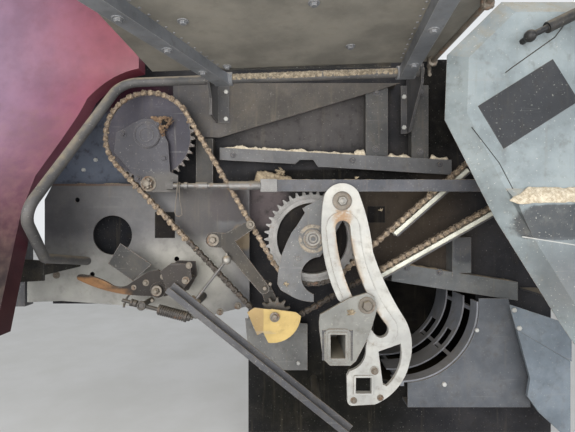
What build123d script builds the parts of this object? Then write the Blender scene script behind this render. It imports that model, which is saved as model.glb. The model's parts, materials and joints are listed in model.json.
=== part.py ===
from build123d import *
import math
import os

# Side drive bay of a big square baler, millimetres.
# X runs along the machine's side to the right, Z is up and the open side faces -Y.
# The origin is on the back face of the chamber wall, at the middle of its four frame bolts.

# Chain drive
chain_pitch = 25.4
roller_radius = 7.9
chain_depth = -120.0
link_height = 21.0
link_thickness = 3.5
link_inner_gap = 18.0
tooth_thickness = 15.0
tooth_reach = 7.6
drive_teeth = 40
upper_teeth = 38
rear_teeth = 28
idler_teeth = 12
upper_x, upper_z = -488.0, 281.0
drive_x, drive_z = 87.0, -78.0
idler_x, idler_z = -44.0, -344.0
rear_x_first, rear_z = 868.0, 252.0
hub_radius = 58.0
rear_hub_radius = 52.0
idler_hub_radius = 28.0
idler_hub_back = -108.0
drum_rim_outer = 138.0
drum_rim_inner = 124.0
drum_rim_height = 18.0
drum_hub_radius = 46.0
drum_hub_height = 22.0

# Shafts and fits
shaft_radius = 25.0
axle_radius = 15.0
running_clearance = 0.05
seat_gap = 0.3
shaft_stub = 50.0
shaft_stub_radius = 22.0
shaft_shoulder = 10.0
shaft_head = 24.0
housing_radius = 44.0
housing_flange_radius = 66.0
housing_flange_thickness = 12.0
housing_gap = 6.0
housing_front = -86.5
far = 2000.0

# Chamber wall and the plates in front of it
wall_thickness = 6.0
wall_top = 600.0
wall_bottom = -830.0
wall_left = -900.0
wall_right = 1010.0
wall_step_x = -150.0
wall_step_z = -336.0
bolt_hole_radius = 9.0
frame_bolt_x = 780.0
frame_bolt_z = 300.0
shaft_hole_radius = 34.0
sheet = 5.0
front_plate_depth = -66.0
front_plate_top = 118.0
front_plate_left = -892.0
front_plate_right = -140.0
round_hole_x, round_hole_z = -643.0, -70.0
round_hole_radius = 72.0
column_left, column_right, column_top = -337.0, -275.0, 285.0

# Upper sheet, its ledge rail and the two posts
upper_sheet_depth = -50.0
upper_sheet_thickness = 6.0
upper_sheet_left = -250.0
upper_sheet_wing = -424.0
upper_sheet_low = 292.0
upper_sheet_top = 493.0
rail_depth = -60.0
rail_left_z, rail_right_z = 252.0, 207.0
rail_right = 605.0
post_front = -49.5
post_top = 486.5
post_edges = ((292.0, 374.0), (463.0, 525.0))

# Hoop tube, which is also the hinge bar of the top shield; its bar rises to the right
hoop_radius = 15.0
hoop_wall = 3.0
hoop_y = -200.0
hoop_z = 466.0
hoop_rise = 2.1
hoop_right = 455.0
hoop_corner_x = -557.0
hoop_knee_x, hoop_knee_y, hoop_knee_z = -701.0, -480.0, 5.0
hoop_foot_x, hoop_foot_y, hoop_foot_z = -735.0, -330.0, -128.0
hoop_foot_drop = 37.0
hoop_foot_gap = 3.0
hoop_bends = (75.0, 60.0, 25.0)

# Top shield
shield_left, shield_right = -432.0, 464.0
shield_length = 960.0
shield_start = 60.0
shield_sheet = 3.0
shield_rise = 12.0
shield_fold = 18.0
rib_width = 46.0
rib_height = 34.0
rib_wall = 4.0
knuckle_length = 60.0
knuckle_radius = 22.0
left_rib_inset, left_rib_tip_inset, left_rib_tip_y = 218.0, 32.0, -760.0
right_rib_inset, right_rib_tip_inset, right_rib_tip_y = 68.0, 174.0, -1180.0
latch_rod_radius = 7.0
latch_rod_inset = 14.0
latch_rod_length = 420.0
latch_rod_drop = 8.0
latch_eye = 12.0
latch_eye_thickness = 10.0

# Plates that hold the hoop tube
bracket_thickness = 8.0
bracket_reach = -225.0
left_bracket_x = -265.0
right_bracket_x = 440.0
bracket_foot_thickness = 6.0

# Front cowl, hinged on a vertical bar at its far left
cowl_left = -985.0
cowl_sheet = 4.0
cowl_top = 745.0
cowl_bottom = -300.0
cowl_top_depth = -215.0
cowl_bottom_depth = -560.0
cowl_knee_z = 386.0
cowl_knee_radius = 400.0
cowl_return = 60.0
cowl_back = -185.0
hinge_x, hinge_y = -997.0, -195.0
hinge_pin_radius = 8.0
hinge_pin_length = 50.0
hinge_knuckle_radius = 13.0
hinge_knuckle_length = 40.0
hinge_low_z, hinge_high_z = -80.0, 600.0
hinge_arm_height = 20.0
front_post_left, front_post_right = -1025.0, -975.0

# Rear cover
cover_depth = -365.0
cover_sheet = 4.0
cover_bevel_depth = 40.0
cover_bevel_width = 50.0
cover_right = 1000.0
cover_top = 650.0
cover_bottom = -440.0
cover_ledge_reach = 27.0
shelf_thickness = 6.0
strut_gap = 38.0
strut_body_radius = 16.0
strut_rod_radius = 9.0
strut_ball_radius = 17.0

# Slotted arm, cam plate and box lever
cam_thickness = 12.0
cam_back = -158.0
cam_boss_radius = 33.0
cam_boss_height = 8.0
cam_cap = 4.0
pivot_x, pivot_z = 181.0, 50.0
pivot_radius = 12.0
pivot_spacer_radius = 20.0
pivot_washer_radius = 32.0
pivot_washer = 4.0
pivot_head = 12.0
arm_back = -196.0
arm_thickness = 16.0
arm_border = 6.0
arm_border_width = 30.0
slot_width = 50.0
slot_arc_radius = 620.0
slot_arc_x, slot_arc_z = 802.0, -1.0
slot_start_angle, slot_sweep = 183.6, 33.8
square_hole = 52.0
square_lip = 7.0
square_x, square_z = 252.0, -561.0
box_back = -232.0
box_thickness = 12.0
box_pin_x, box_pin_z = 257.0, -289.0
box_pin_radius = 12.0
box_pin_washer_radius = 27.0
box_hole_width, box_hole_height = 48.0, 76.0
box_tube_wall = 8.0
box_collar = 8.0
box_collar_height = 8.0
box_corner = 14.0
box_tube_proud = 14.0
box_plug = 20.0
box_tube_x, box_tube_z = 162.0, -419.0

# Tie rod between the upper bearing carrier and the rear of the frame
tie_y = -184.0
tie_z = 103.0
tie_bar_height = 40.0
tie_bar_thickness = 12.0
tie_bar_left, tie_bar_right = -35.0, 690.0
tie_bar_stud_radius = 14.0
tie_rod_radius = 8.0
carrier_back = -140.0
carrier_thickness = 10.0
carrier_boss_radius = 46.0
carrier_boss_height = 6.0
carrier_lug_right = -386.0

# Chain tensioner, its rod and the guard in front of the idler
tension_back = -150.0
tension_thickness = 12.0
tension_hub_x, tension_hub_z = -257.0, -82.0
tension_elbow_x, tension_elbow_z = -215.0, -85.0
tension_eye_x, tension_eye_z = -132.0, -34.0
tension_foot_x, tension_foot_z = -82.0, -250.0
tension_link_back = -92.0
tension_link_thickness = 8.0
tension_rod_radius = 5.0
guard_back = -166.0
guard_thickness = 5.0

# Guides that the chain strands slide on
guide_gap = 11.5
guide_strip = 14.0
guide_strip_width = 32.0
guide_rail = 5.0
guide_rail_width = 44.0
guide_foot_width = 30.0

# Rotor trough behind the lower right of the wall, and the plates beside it
trough_x, trough_z = 421.0, -330.0
trough_radius = 275.0
trough_sheet = 6.0
trough_start, trough_sweep = -96.0, 99.0
trough_bands = ((-70.0, -18.0), (47.0, 150.0), (215.0, 330.0))
trough_bar = 14.0
trough_room = 8.0
side_plate_depth = -70.0
side_plate_thickness = 6.0
side_plate_foot = -700.0
casing_left, casing_right, casing_low, casing_high = 300.0, 760.0, -660.0, -225.0

# Hand lever, its bracket and the sign beside it
lever_back = -176.0
lever_thickness = 10.0
lever_pivot_x, lever_pivot_z = -437.0, -250.0
lever_pin_radius = 10.0
lever_boss_radius = 26.0
lever_hub_radius = 18.0
lever_bracket_back = -120.0
lever_bracket_front = -198.0
lever_bracket_sheet = 6.0
label_back = -160.0
label_sheet = 3.0

# Long bar across the lower side
bar_front, bar_back = -250.0, -215.0
bar_height = 34.0
bar_lip = 20.0
bar_sheet = 5.0
bar_start_x, bar_start_z = -385.0, -233.0
bar_end_x, bar_end_z = 205.0, -707.0
bar_support_radius = 14.0
bar_support_x = (-310.0, 100.0)

# Strap that holds the cowl shut
strap_front = -300.0
strap_sheet = 6.0


def layer(back):
    """A drawing plane parallel to the wall at the depth back, facing out of the bay."""
    return Plane.XZ.offset(-back)


def plate(outline, back, thickness):
    """A flat plate from its outline, with its back face at the depth back."""
    return extrude(layer(back) * make_face(Polyline(*outline, close=True)), amount=thickness)


def shaped_plate(edges, back, thickness):
    """A flat plate from lines and arcs that already close."""
    return extrude(layer(back) * make_face(edges), amount=thickness)


def disc(x, z, radius, back, length):
    """A round bar or disc along Y."""
    return extrude(layer(back) * Pos(x, z) * Circle(radius), amount=length)


def block(x0, x1, y0, y1, z0, z1):
    """A box between two corners."""
    return Pos((x0 + x1) / 2, (y0 + y1) / 2, (z0 + z1) / 2) * Box(x1 - x0, y1 - y0, z1 - z0)


def rod(start, end, radius):
    """A round bar between two points."""
    along = end - start
    seat = Plane(origin=start, z_dir=along.normalized())
    return seat * Cylinder(radius, along.length, align=(Align.CENTER, Align.CENTER, Align.MIN))


def link(first, second, first_radius, second_radius, back, thickness):
    """A flat lever between two points, rounded at both ends."""
    (x1, z1), (x2, z2) = first, second
    span = math.hypot(x2 - x1, z2 - z1)
    nx, nz = -(z2 - z1) / span, (x2 - x1) / span
    body = plate((
        (x1 + nx * first_radius, z1 + nz * first_radius), (x2 + nx * second_radius, z2 + nz * second_radius),
        (x2 - nx * second_radius, z2 - nz * second_radius), (x1 - nx * first_radius, z1 - nz * first_radius),
    ), back, thickness)
    return body + disc(x1, z1, first_radius, back, thickness) + disc(x2, z2, second_radius, back, thickness)


def pitch_radius(teeth):
    return chain_pitch / (2 * math.sin(math.pi / teeth))


def sprocket_outline(teeth, first_tooth):
    """Points of a sprocket's outline; first_tooth is a tooth's angle in radians."""
    step = 2 * math.pi / teeth
    root = pitch_radius(teeth) - roller_radius
    tip = pitch_radius(teeth) + tooth_reach
    corners = ((root, -0.29), (tip, -0.09), (tip, 0.09), (root, 0.29))
    points = []
    for tooth in range(teeth):
        for radius, share in corners:
            angle = first_tooth + (tooth + share) * step
            points.append((radius * math.cos(angle), radius * math.sin(angle)))
    return points


def tangent_points(first, second):
    """Ends of the chain strand between two wheels, each (x, z, radius, sense)."""
    x1, z1, r1, s1 = first
    x2, z2, r2, s2 = second
    span = math.hypot(x2 - x1, z2 - z1)
    heading = math.atan2(z2 - z1, x2 - x1) - math.asin((s2 * r2 - s1 * r1) / span)
    nx, nz = -math.sin(heading), math.cos(heading)
    return (x1 - s1 * r1 * nx, z1 - s1 * r1 * nz), (x2 - s2 * r2 * nx, z2 - s2 * r2 * nz)


def chain_wheels(rear_x, shift=0.0):
    """The wheels in the chain's running order, with the route moved inwards by shift."""
    rows = (
        # x, z, teeth, sense: +1 has the wheel inside the loop
        (rear_x, rear_z, rear_teeth, 1),
        (drive_x, drive_z, drive_teeth, -1),
        (upper_x, upper_z, upper_teeth, 1),
        (idler_x, idler_z, idler_teeth, 1),
    )
    return [(x, z, pitch_radius(teeth) - sense * shift, sense) for x, z, teeth, sense in rows]


def chain_route(wheels):
    """Strands and wraps of the loop: (line start, line end, wrap middle, wrap end, two lengths, first angle)."""
    strands = [tangent_points(wheels[i], wheels[(i + 1) % 4]) for i in range(4)]
    route = []
    for i in range(4):
        start, end = strands[i]
        leave = strands[(i + 1) % 4][0]
        x, z, radius, sense = wheels[(i + 1) % 4]
        a_in = math.atan2(end[1] - z, end[0] - x)
        a_out = math.atan2(leave[1] - z, leave[0] - x)
        sweep = ((a_out - a_in) * sense) % (2 * math.pi)
        middle = a_in + sense * sweep / 2
        mid_point = (x + radius * math.cos(middle), z + radius * math.sin(middle))
        route.append((start, end, mid_point, leave, math.dist(start, end), radius * sweep, a_in))
    return route


def route_length(rear_x):
    return sum(leg[4] + leg[5] for leg in chain_route(chain_wheels(rear_x)))


# The rear sprocket takes up the chain, so that the loop is an even number of pitches
rear_x = rear_x_first
whole_length = 2 * round(route_length(rear_x) / (2 * chain_pitch)) * chain_pitch
for take_up in range(12):
    rear_x += (whole_length - route_length(rear_x)) / 1.6


def chain_face(shift):
    """The area inside the chain's route, with the route moved inwards by shift."""
    edges = Curve()
    for start, end, middle, leave, _, _, _ in chain_route(chain_wheels(rear_x, shift)):
        edges += Line(start, end)
        edges += ThreePointArc(end, middle, leave)
    return make_face(edges)


def first_teeth():
    """The angle of one tooth on each wheel, so that the rollers lie in the gaps."""
    wheels = chain_wheels(rear_x)
    angles = []
    travelled = 0.0
    for (x, z, radius, sense), leg in zip(wheels[1:] + wheels[:1], chain_route(wheels)):
        travelled += leg[4]
        to_roller = -travelled % chain_pitch
        angles.append(leg[6] + sense * (to_roller + chain_pitch / 2) / radius)
        travelled += leg[5]
    return angles


drive_tooth, upper_tooth, idler_tooth, rear_tooth = first_teeth()


def roller_chain():
    """Two rows of link plates round the loop, with rollers wherever no tooth can reach."""
    ring = chain_face(-link_height / 2) - chain_face(link_height / 2)
    outer = extrude(layer(chain_depth - link_inner_gap / 2) * ring, amount=link_thickness)
    inner = extrude(layer(chain_depth + link_inner_gap / 2 + link_thickness) * ring, amount=link_thickness)
    chain = outer + inner
    clear = 3 * chain_pitch
    for start, end, _, _, length, _, _ in chain_route(chain_wheels(rear_x)):
        count = int((length - 2 * clear) // (2 * chain_pitch)) + 1
        first = (length - (count - 1) * 2 * chain_pitch) / 2
        for i in range(count):
            share = (first + i * 2 * chain_pitch) / length
            x = start[0] + (end[0] - start[0]) * share
            z = start[1] + (end[1] - start[1]) * share
            chain += disc(x, z, roller_radius, chain_depth + link_inner_gap / 2, link_inner_gap)
    return chain


def sprocket(x, z, teeth, first_tooth, hub, hub_back, bore):
    """A toothed plate with a hub behind it."""
    teeth_face = Pos(x, z) * make_face(Polyline(*sprocket_outline(teeth, first_tooth), close=True))
    wheel = extrude(layer(chain_depth + tooth_thickness / 2) * teeth_face, amount=tooth_thickness)
    wheel += disc(x, z, hub, hub_back, hub_back - chain_depth)
    return wheel - disc(x, z, bore + running_clearance, 0, far)


hub_seat = housing_front - housing_gap


def upper_sprocket():
    return sprocket(upper_x, upper_z, upper_teeth, upper_tooth, hub_radius, hub_seat, shaft_radius)


def drive_sprocket():
    """The drive sprocket is a drum: a raised rim round a recess with the hub in it."""
    wheel = sprocket(drive_x, drive_z, drive_teeth, drive_tooth, hub_radius, hub_seat, shaft_radius)
    front = chain_depth - tooth_thickness / 2
    rim = disc(drive_x, drive_z, drum_rim_outer, front, drum_rim_height)
    rim -= disc(drive_x, drive_z, drum_rim_inner, front, drum_rim_height)
    hub = disc(drive_x, drive_z, drum_hub_radius, front, drum_hub_height)
    return wheel + rim + hub - disc(drive_x, drive_z, shaft_radius + running_clearance, 0, far)


def rear_sprocket():
    return sprocket(rear_x, rear_z, rear_teeth, rear_tooth, rear_hub_radius, hub_seat, shaft_radius)


def idler_sprocket():
    return sprocket(idler_x, idler_z, idler_teeth, idler_tooth, idler_hub_radius, idler_hub_back, axle_radius)


def shaft(x, z, front):
    """A shaft from its front end through the wall, with a turned-down stub behind it."""
    body = disc(x, z, shaft_radius, shaft_shoulder, shaft_shoulder - front)
    return body + disc(x, z, shaft_stub_radius, shaft_shoulder + shaft_stub, shaft_stub)


def housing(x, z):
    """A flanged bearing housing on the chamber wall."""
    flange = disc(x, z, housing_flange_radius, -wall_thickness, housing_flange_thickness)
    barrel = disc(x, z, housing_radius, -wall_thickness, -wall_thickness - housing_front)
    return flange + barrel - disc(x, z, shaft_radius + running_clearance, 0, far)


wheel_places = ((drive_x, drive_z), (upper_x, upper_z), (rear_x, rear_z))


def trough_opening(radius):
    """The part of a circle round the trough's centre that lies below the rear beam."""
    below_beam = make_face(Polyline((330, -238), (740, -301), (740, -640), (330, -640), close=True))
    return below_beam & (Pos(trough_x, trough_z) * Circle(radius))


def chamber_wall():
    outline = (
        (wall_left, wall_step_z), (wall_step_x, wall_step_z), (wall_step_x, wall_bottom),
        (wall_right, wall_bottom), (wall_right, wall_top), (wall_left, wall_top),
    )
    wall = plate(outline, 0, wall_thickness)
    for x, z in wheel_places:
        wall -= disc(x, z, shaft_hole_radius, 0, wall_thickness)
    for x in (-frame_bolt_x, frame_bolt_x):
        for z in (-frame_bolt_z, frame_bolt_z):
            wall -= disc(x, z, bolt_hole_radius, 0, wall_thickness)
    room = trough_radius + trough_sheet + trough_bar + trough_room
    return wall - extrude(layer(0) * trough_opening(room), amount=wall_thickness)


def front_plate():
    """The left plate, folded back to the chamber wall along its top and left edges."""
    fold_left = -862
    outline = (
        (front_plate_left, 60), (fold_left, front_plate_top), (front_plate_right, front_plate_top),
        (front_plate_right, -330), (-338, -378), (-583, -330), (-828, -312), (-956, -317), (-956, -185),
        (front_plate_left, -165),
    )
    face = plate(outline, front_plate_depth, sheet)
    face -= disc(round_hole_x, round_hole_z, round_hole_radius, front_plate_depth, sheet)
    small_hole = 9
    for x, z in ((-772, 59), (-717, -214), (-407, -158)):
        face -= disc(x, z, small_hole, front_plate_depth, sheet)
    folds = (
        # left, right, low, high
        (fold_left, front_plate_right, front_plate_top - sheet, front_plate_top),
        (front_plate_left, front_plate_left + sheet, -165, 60),
        (-640, -560, -320, -320 + sheet),
    )
    for left, right, low, high in folds:
        face += block(left, right, front_plate_depth, -wall_thickness, low, high)
    return face


def wall_column():
    """The upright channel between the upper and the drive sprocket."""
    channel = block(column_left, column_right, front_plate_depth, -wall_thickness, front_plate_top, column_top)
    return channel - block(column_left + sheet, column_right - sheet, front_plate_depth + sheet,
                           -wall_thickness, front_plate_top, column_top)


def upper_sheet():
    """The sheet under the hoop tube, cut off along a rising line, with its folded top edge."""
    outline = (
        (upper_sheet_wing, upper_sheet_low), (upper_sheet_left, upper_sheet_low), (362, 475),
        (417, upper_sheet_top), (upper_sheet_wing, upper_sheet_top),
    )
    fold = block(upper_sheet_wing, 405, upper_sheet_depth, -wall_thickness,
                 upper_sheet_top - upper_sheet_thickness, upper_sheet_top)
    return plate(outline, upper_sheet_depth, upper_sheet_thickness) + fold


def upper_rail():
    """The ledge that drops to the right, with its notch."""
    outline = (
        (upper_sheet_left, rail_left_z), (rail_right, rail_right_z), (rail_right, 152), (150, 180), (113, 181),
        (95, 207), (45, 207), (28, 192), (upper_sheet_left, 207),
    )
    face = plate(outline, rail_depth, upper_sheet_thickness)
    low = upper_sheet_thickness
    ledge = plate((
        (upper_sheet_left, rail_left_z - low), (rail_right, rail_right_z - low),
        (rail_right, rail_right_z), (upper_sheet_left, rail_left_z),
    ), -wall_thickness, -wall_thickness - rail_depth)
    return face + ledge


def frame_posts():
    """Two posts between the ledge and the upper sheet."""
    slope = (rail_right_z - rail_left_z) / (rail_right - upper_sheet_left)
    posts = []
    for left, right in post_edges:
        foot = rail_left_z + (left - upper_sheet_left) * slope + seat_gap
        posts.append(block(left, right, post_front, -wall_thickness, foot, post_top))
    return Compound(posts)


def on_hoop(shape):
    """Turns a level shape to the rise of the hoop's bar."""
    return Pos(0, 0, hoop_z) * Rot(0, -hoop_rise, 0) * Pos(0, 0, -hoop_z) * shape


def tube_bore(clearance):
    """A long bar on the hoop tube's axis, to cut what the tube passes through."""
    return Pos(0, hoop_y, hoop_z) * Rot(0, 90, 0) * Cylinder(hoop_radius + clearance, far)


def hinge_brackets():
    """Two plates that stand out of the wall and hold the hoop tube, each with its bolted foot."""
    base = upper_sheet_depth - upper_sheet_thickness
    high = hoop_z + hoop_radius + 20
    rows = (
        # plate's left face, foot's two edges, points of its lower edge from the front to the wall
        (left_bracket_x, (left_bracket_x, left_bracket_x + 50), ((bracket_reach, 440), (-180, 400), (-180, 345))),
        (right_bracket_x, (right_bracket_x - 20, right_bracket_x + bracket_thickness),
         ((bracket_reach, 440), (-150, 370), (-90, 305))),
    )
    brackets = []
    for x, foot, lower in rows:
        low = lower[-1][1]
        edge = Polyline((base, high), (bracket_reach, high), *lower, (base, low), close=True)
        solid = extrude(Plane.YZ.offset(x) * make_face(edge), amount=bracket_thickness)
        solid += block(foot[0], foot[1], base - bracket_foot_thickness, base, low, high - 20)
        brackets.append(solid - on_hoop(tube_bore(seat_gap)))
    return Compound(brackets)


def hoop_height(x):
    return hoop_z + x * math.tan(math.radians(hoop_rise))


def hoop_tube():
    """One bent tube: the hinge bar along the top, then the leg that leans out of the bay."""
    path = FilletPolyline(
        (hoop_right, hoop_y, hoop_height(hoop_right)),
        (hoop_corner_x, hoop_y, hoop_height(hoop_corner_x)),
        (hoop_knee_x, hoop_knee_y, hoop_knee_z),
        (hoop_foot_x, hoop_foot_y, hoop_foot_z),
        (hoop_foot_x, front_plate_depth - sheet - hoop_foot_gap, hoop_foot_z - hoop_foot_drop),
        radius=hoop_bends)
    ends = Plane(origin=path @ 0, z_dir=path % 0)
    tube = sweep(ends * Circle(hoop_radius), path=path)
    bore = sweep(ends * Circle(hoop_radius - hoop_wall), path=path)
    return tube - bore


def shield_rib(x, tip_x, tip_y):
    """A channel rib from its knuckle on the hoop tube out along the shield."""
    top = hoop_z + shield_rise
    length = math.hypot(tip_x - x, tip_y - hoop_y)
    turn = math.degrees(math.atan2(tip_y - hoop_y, tip_x - x))
    bar = block(0, length, -rib_width / 2, rib_width / 2, top - rib_height, top)
    hollow = block(rib_height, length - rib_wall, rib_wall - rib_width / 2, rib_width / 2 - rib_wall,
                   top - rib_height + rib_wall, top)
    rib = Pos(x, hoop_y, 0) * Rot(0, 0, turn) * (bar - hollow)
    knuckle = Pos(x, hoop_y, hoop_z) * Rot(0, 90, 0) * Cylinder(knuckle_radius, knuckle_length)
    return on_hoop(rib + knuckle - tube_bore(running_clearance))


def shield_ribs():
    left = shield_rib(shield_left + left_rib_inset, shield_left + left_rib_tip_inset, left_rib_tip_y)
    right = shield_rib(shield_right - right_rib_inset, shield_right - right_rib_tip_inset, right_rib_tip_y)
    return Compound([left, right])


def shield_panel():
    """The flat sheet over the ribs, with its outer and side edges folded up."""
    base = hoop_z + shield_rise
    near = hoop_y - shield_start
    out = near - shield_length
    panel = block(shield_left, shield_right, out, near, base, base + shield_sheet)
    panel += block(shield_left, shield_right, out, out + shield_sheet, base, base + shield_fold)
    for x in (shield_left, shield_right - shield_sheet):
        panel += block(x, x + shield_sheet, out, near, base, base + shield_fold)
    return on_hoop(panel)


def shield_latch_rod():
    """The rod along the shield's right edge that draws its latch, in two eyes."""
    x = shield_right - latch_rod_inset
    top = hoop_z + shield_rise
    z = top - latch_rod_radius - latch_rod_drop
    near = hoop_y - shield_start - latch_eye_thickness
    pull = Pos(x, near - latch_rod_length / 2, z) * Rot(90, 0, 0) * Cylinder(latch_rod_radius, latch_rod_length)
    for y in (near - 2 * latch_eye, near - latch_rod_length + 4 * latch_eye):
        half = latch_eye_thickness / 2
        pull += block(x - latch_eye, x + latch_eye, y - half, y + half, z - latch_eye, top)
    return on_hoop(pull)


def cowl_profile(shift):
    """The cowl's section, from its lower edge up, moved inwards by shift."""
    return FilletPolyline(
        (cowl_bottom_depth + shift, cowl_bottom), (cowl_top_depth + shift, cowl_knee_z),
        (cowl_top_depth + shift, cowl_top), radius=cowl_knee_radius)


def cowl_block(front_shift, back_shift, inset):
    """The space behind the cowl's skin, between two shifts of its section."""
    front = cowl_profile(front_shift)
    back = cowl_profile(back_shift)
    section = make_face(Curve() + front + Line(front @ 1, back @ 1) + back + Line(back @ 0, front @ 0))
    band = extrude(Plane.YZ.offset(cowl_left + inset) * section, amount=far)
    left, low, high = cowl_left + inset, cowl_bottom + inset, cowl_top - inset
    edge = Curve() + Polyline((-658 - inset, 385), (-708 - inset, 236), (-751 - inset, 120), (-757 - inset, 10),
                              (-720 - inset, low), (left, low), (left, high), (-493 - inset, high),
                              (-493 - inset, 489 + inset))
    edge += ThreePointArc((-493 - inset, 489 + inset), (-590 - inset, 450 + inset), (-658 - inset, 385))
    return band & extrude(layer(0) * make_face(edge), amount=far)


def front_cowl():
    """The curved red front cowl, with its folded edges, side wall and hinge knuckles."""
    cowl = cowl_block(0, cowl_return, 0) - cowl_block(cowl_sheet, cowl_return + 10, cowl_sheet)
    front = cowl_profile(0)
    side = make_face(Curve() + front + Polyline(
        front @ 1, (cowl_back, cowl_top), (cowl_back, cowl_bottom), front @ 0))
    cowl += extrude(Plane.YZ.offset(cowl_left) * side, amount=cowl_sheet)
    for z in (hinge_low_z, hinge_high_z):
        middle = Pos(hinge_x, hinge_y, z + hinge_knuckle_length / 2)
        cowl += middle * Cylinder(hinge_knuckle_radius, hinge_knuckle_length)
        cowl -= middle * Cylinder(hinge_pin_radius + running_clearance, hinge_knuckle_length)
    return cowl


def front_post():
    """The upright at the far left with two arms and the cowl's hinge pins."""
    post = block(front_post_left, front_post_right, -56, -wall_thickness, wall_step_z, wall_top)
    for low in (-250, 450):
        post += block(front_post_right, wall_left + 60, -wall_thickness - 10, -wall_thickness, low, low + 60)
    for z in (hinge_low_z, hinge_high_z):
        top = z - seat_gap
        post += block(hinge_x - 12, hinge_x + 5, hinge_y - 4, -56, top - hinge_arm_height, top)
        post += Pos(hinge_x, hinge_y, top + hinge_pin_length / 2) * Cylinder(hinge_pin_radius, hinge_pin_length)
    return post


def rear_cover():
    """The rear cover: a flat face, a bevelled rim and a sloping ledge across its right half."""
    rim = cover_depth + cover_bevel_depth
    outline = make_face(Polyline(
        (484, 488), (477, 292), (632, -12), (823, -319), (905, cover_bottom), (cover_right, cover_bottom),
        (cover_right, cover_top), (650, cover_top), close=True))
    face = offset(outline, -cover_bevel_width, kind=Kind.INTERSECTION)
    shell = loft([layer(rim) * outline, layer(cover_depth) * face], ruled=True)
    shell -= Pos(0, cover_sheet, 0) * shell
    seat = cover_depth + cover_sheet / 2
    ledge = extrude(Plane.YZ * make_face(Polyline(
        (seat, 84), (cover_depth - cover_ledge_reach, 40), (seat, -70), close=True)),
        amount=cover_right - cover_bevel_width)
    return shell + (ledge & extrude(layer(seat) * face, amount=cover_bevel_width))


def cover_supports():
    """Two shelves that carry the rear cover off the wall."""
    back = cover_depth + cover_sheet
    shelves = []
    for left, low in ((640, 540), (890, -280)):
        shelves.append(block(left, cover_right - cover_bevel_width, back, -wall_thickness, low, low + shelf_thickness))
    return Compound(shelves)


def gas_strut():
    """A gas strut parked on two ball studs of the rear cover."""
    depth = cover_depth - strut_gap
    start = Vector(690, depth, 512)
    end = Vector(850, depth, 590)
    middle = start + (end - start) * 0.3
    strut = rod(start, middle, strut_rod_radius) + rod(middle, end, strut_body_radius)
    for stud in (start, end):
        strut += Pos(*stud) * Sphere(strut_ball_radius)
        strut += rod(Vector(stud.X, cover_depth, stud.Z), stud, strut_rod_radius)
    return strut


def bearing_carrier():
    """The lobed plate over the upper shaft's front end, with the lug for the tie rod."""
    outline = (
        (-603, 222), (-595, 290), (-571, 302), (-534, 324), (-502, 338), (-456, 335), (-416, 256),
        (-408, 153), (-381, 142), (-381, 83), (-470, 83), (-505, 95), (-545, 157),
    )
    carrier = plate(outline, carrier_back, carrier_thickness)
    front = carrier_back - carrier_thickness
    carrier += disc(upper_x, upper_z, carrier_boss_radius, front, carrier_boss_height)
    carrier -= disc(upper_x, upper_z, shaft_radius + running_clearance, 0, carrier_boss_height - front - carrier_thickness)
    carrier += disc(-483, 112, 13, front, 26)
    return carrier + block(carrier_lug_right - 26, carrier_lug_right, tie_y - tie_rod_radius, front,
                           tie_z - 12, tie_z + 12)


def tie_rod():
    """The adjustable rod: thread, nut, sleeve and the flattened fork."""
    segments = (
        # left, right, radius
        (carrier_lug_right, -91, tie_rod_radius),
        (-350, -338, 12),
        (-310, -270, 12),
        (-197, -91, 15),
    )
    whole = block(-91, tie_bar_left, tie_y - 10, tie_y + 10, tie_z - 22, tie_z + 22)
    for left, right, radius in segments:
        whole += rod(Vector(left, tie_y, tie_z), Vector(right, tie_y, tie_z), radius)
    return whole


def tie_bar():
    """The long flat bar from the fork to its bolt at the rear, with a stud to the wall."""
    low, high = tie_z - tie_bar_height / 2, tie_z + tie_bar_height / 2
    half = tie_bar_thickness / 2
    bar = block(tie_bar_left, tie_bar_right, tie_y - half, tie_y + half, low, high)
    return bar + disc(tie_bar_right - 24, tie_z, tie_bar_stud_radius, -wall_thickness, -wall_thickness - tie_y - half)


def tension_arm():
    """The chain tensioner: a bell crank on its stud, and the link behind the chain with the idler's axle."""
    hub = (tension_hub_x, tension_hub_z)
    elbow = (tension_elbow_x, tension_elbow_z)
    arm = link(hub, elbow, 26, 26, tension_back, tension_thickness)
    arm += link(elbow, (tension_eye_x, tension_eye_z), 22, 17, tension_back, tension_thickness)
    arm += link(elbow, (tension_foot_x, tension_foot_z), 26, 19, tension_back, tension_thickness)
    arm += disc(*hub, 16, front_plate_depth - sheet, front_plate_depth - sheet - tension_back)
    arm += link((tension_foot_x, tension_foot_z), (idler_x, idler_z), 19, 24,
                tension_link_back, tension_link_thickness)
    arm += disc(tension_foot_x, tension_foot_z, 12, tension_link_back, tension_link_back - tension_back)
    return arm + disc(idler_x, idler_z, axle_radius, tension_link_back, tension_link_back - guard_back)


def tension_rod():
    """The rod from the tensioner's ball joint down to its clamp on the long bar."""
    front = tension_back - tension_thickness
    ball, clamp = 14, 12
    start = Vector(-208, front - ball - seat_gap, -150)
    end = Vector(-312, bar_back + clamp + seat_gap, -286)
    return rod(start, end, tension_rod_radius) + Pos(*start) * Sphere(ball) + Pos(*end) * Sphere(clamp)


def chain_guard():
    """The bent yellow plate on the idler's axle."""
    wing = plate(((-138, -330), (-114, -314), (-56, -320), (-83, -398), (-104, -408)), guard_back, guard_thickness)
    edge = Curve() + Polyline((-83, -398), (-56, -318), (30, -330), (46, -343))
    edge += ThreePointArc((46, -343), (8, -414), (-66, -434))
    edge += Line((-66, -434), (-83, -398))
    bolt_radius = 12
    return wing + shaped_plate(edge, guard_back, guard_thickness) + disc(
        idler_x, idler_z, bolt_radius, guard_back, 2 * guard_thickness)


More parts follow.
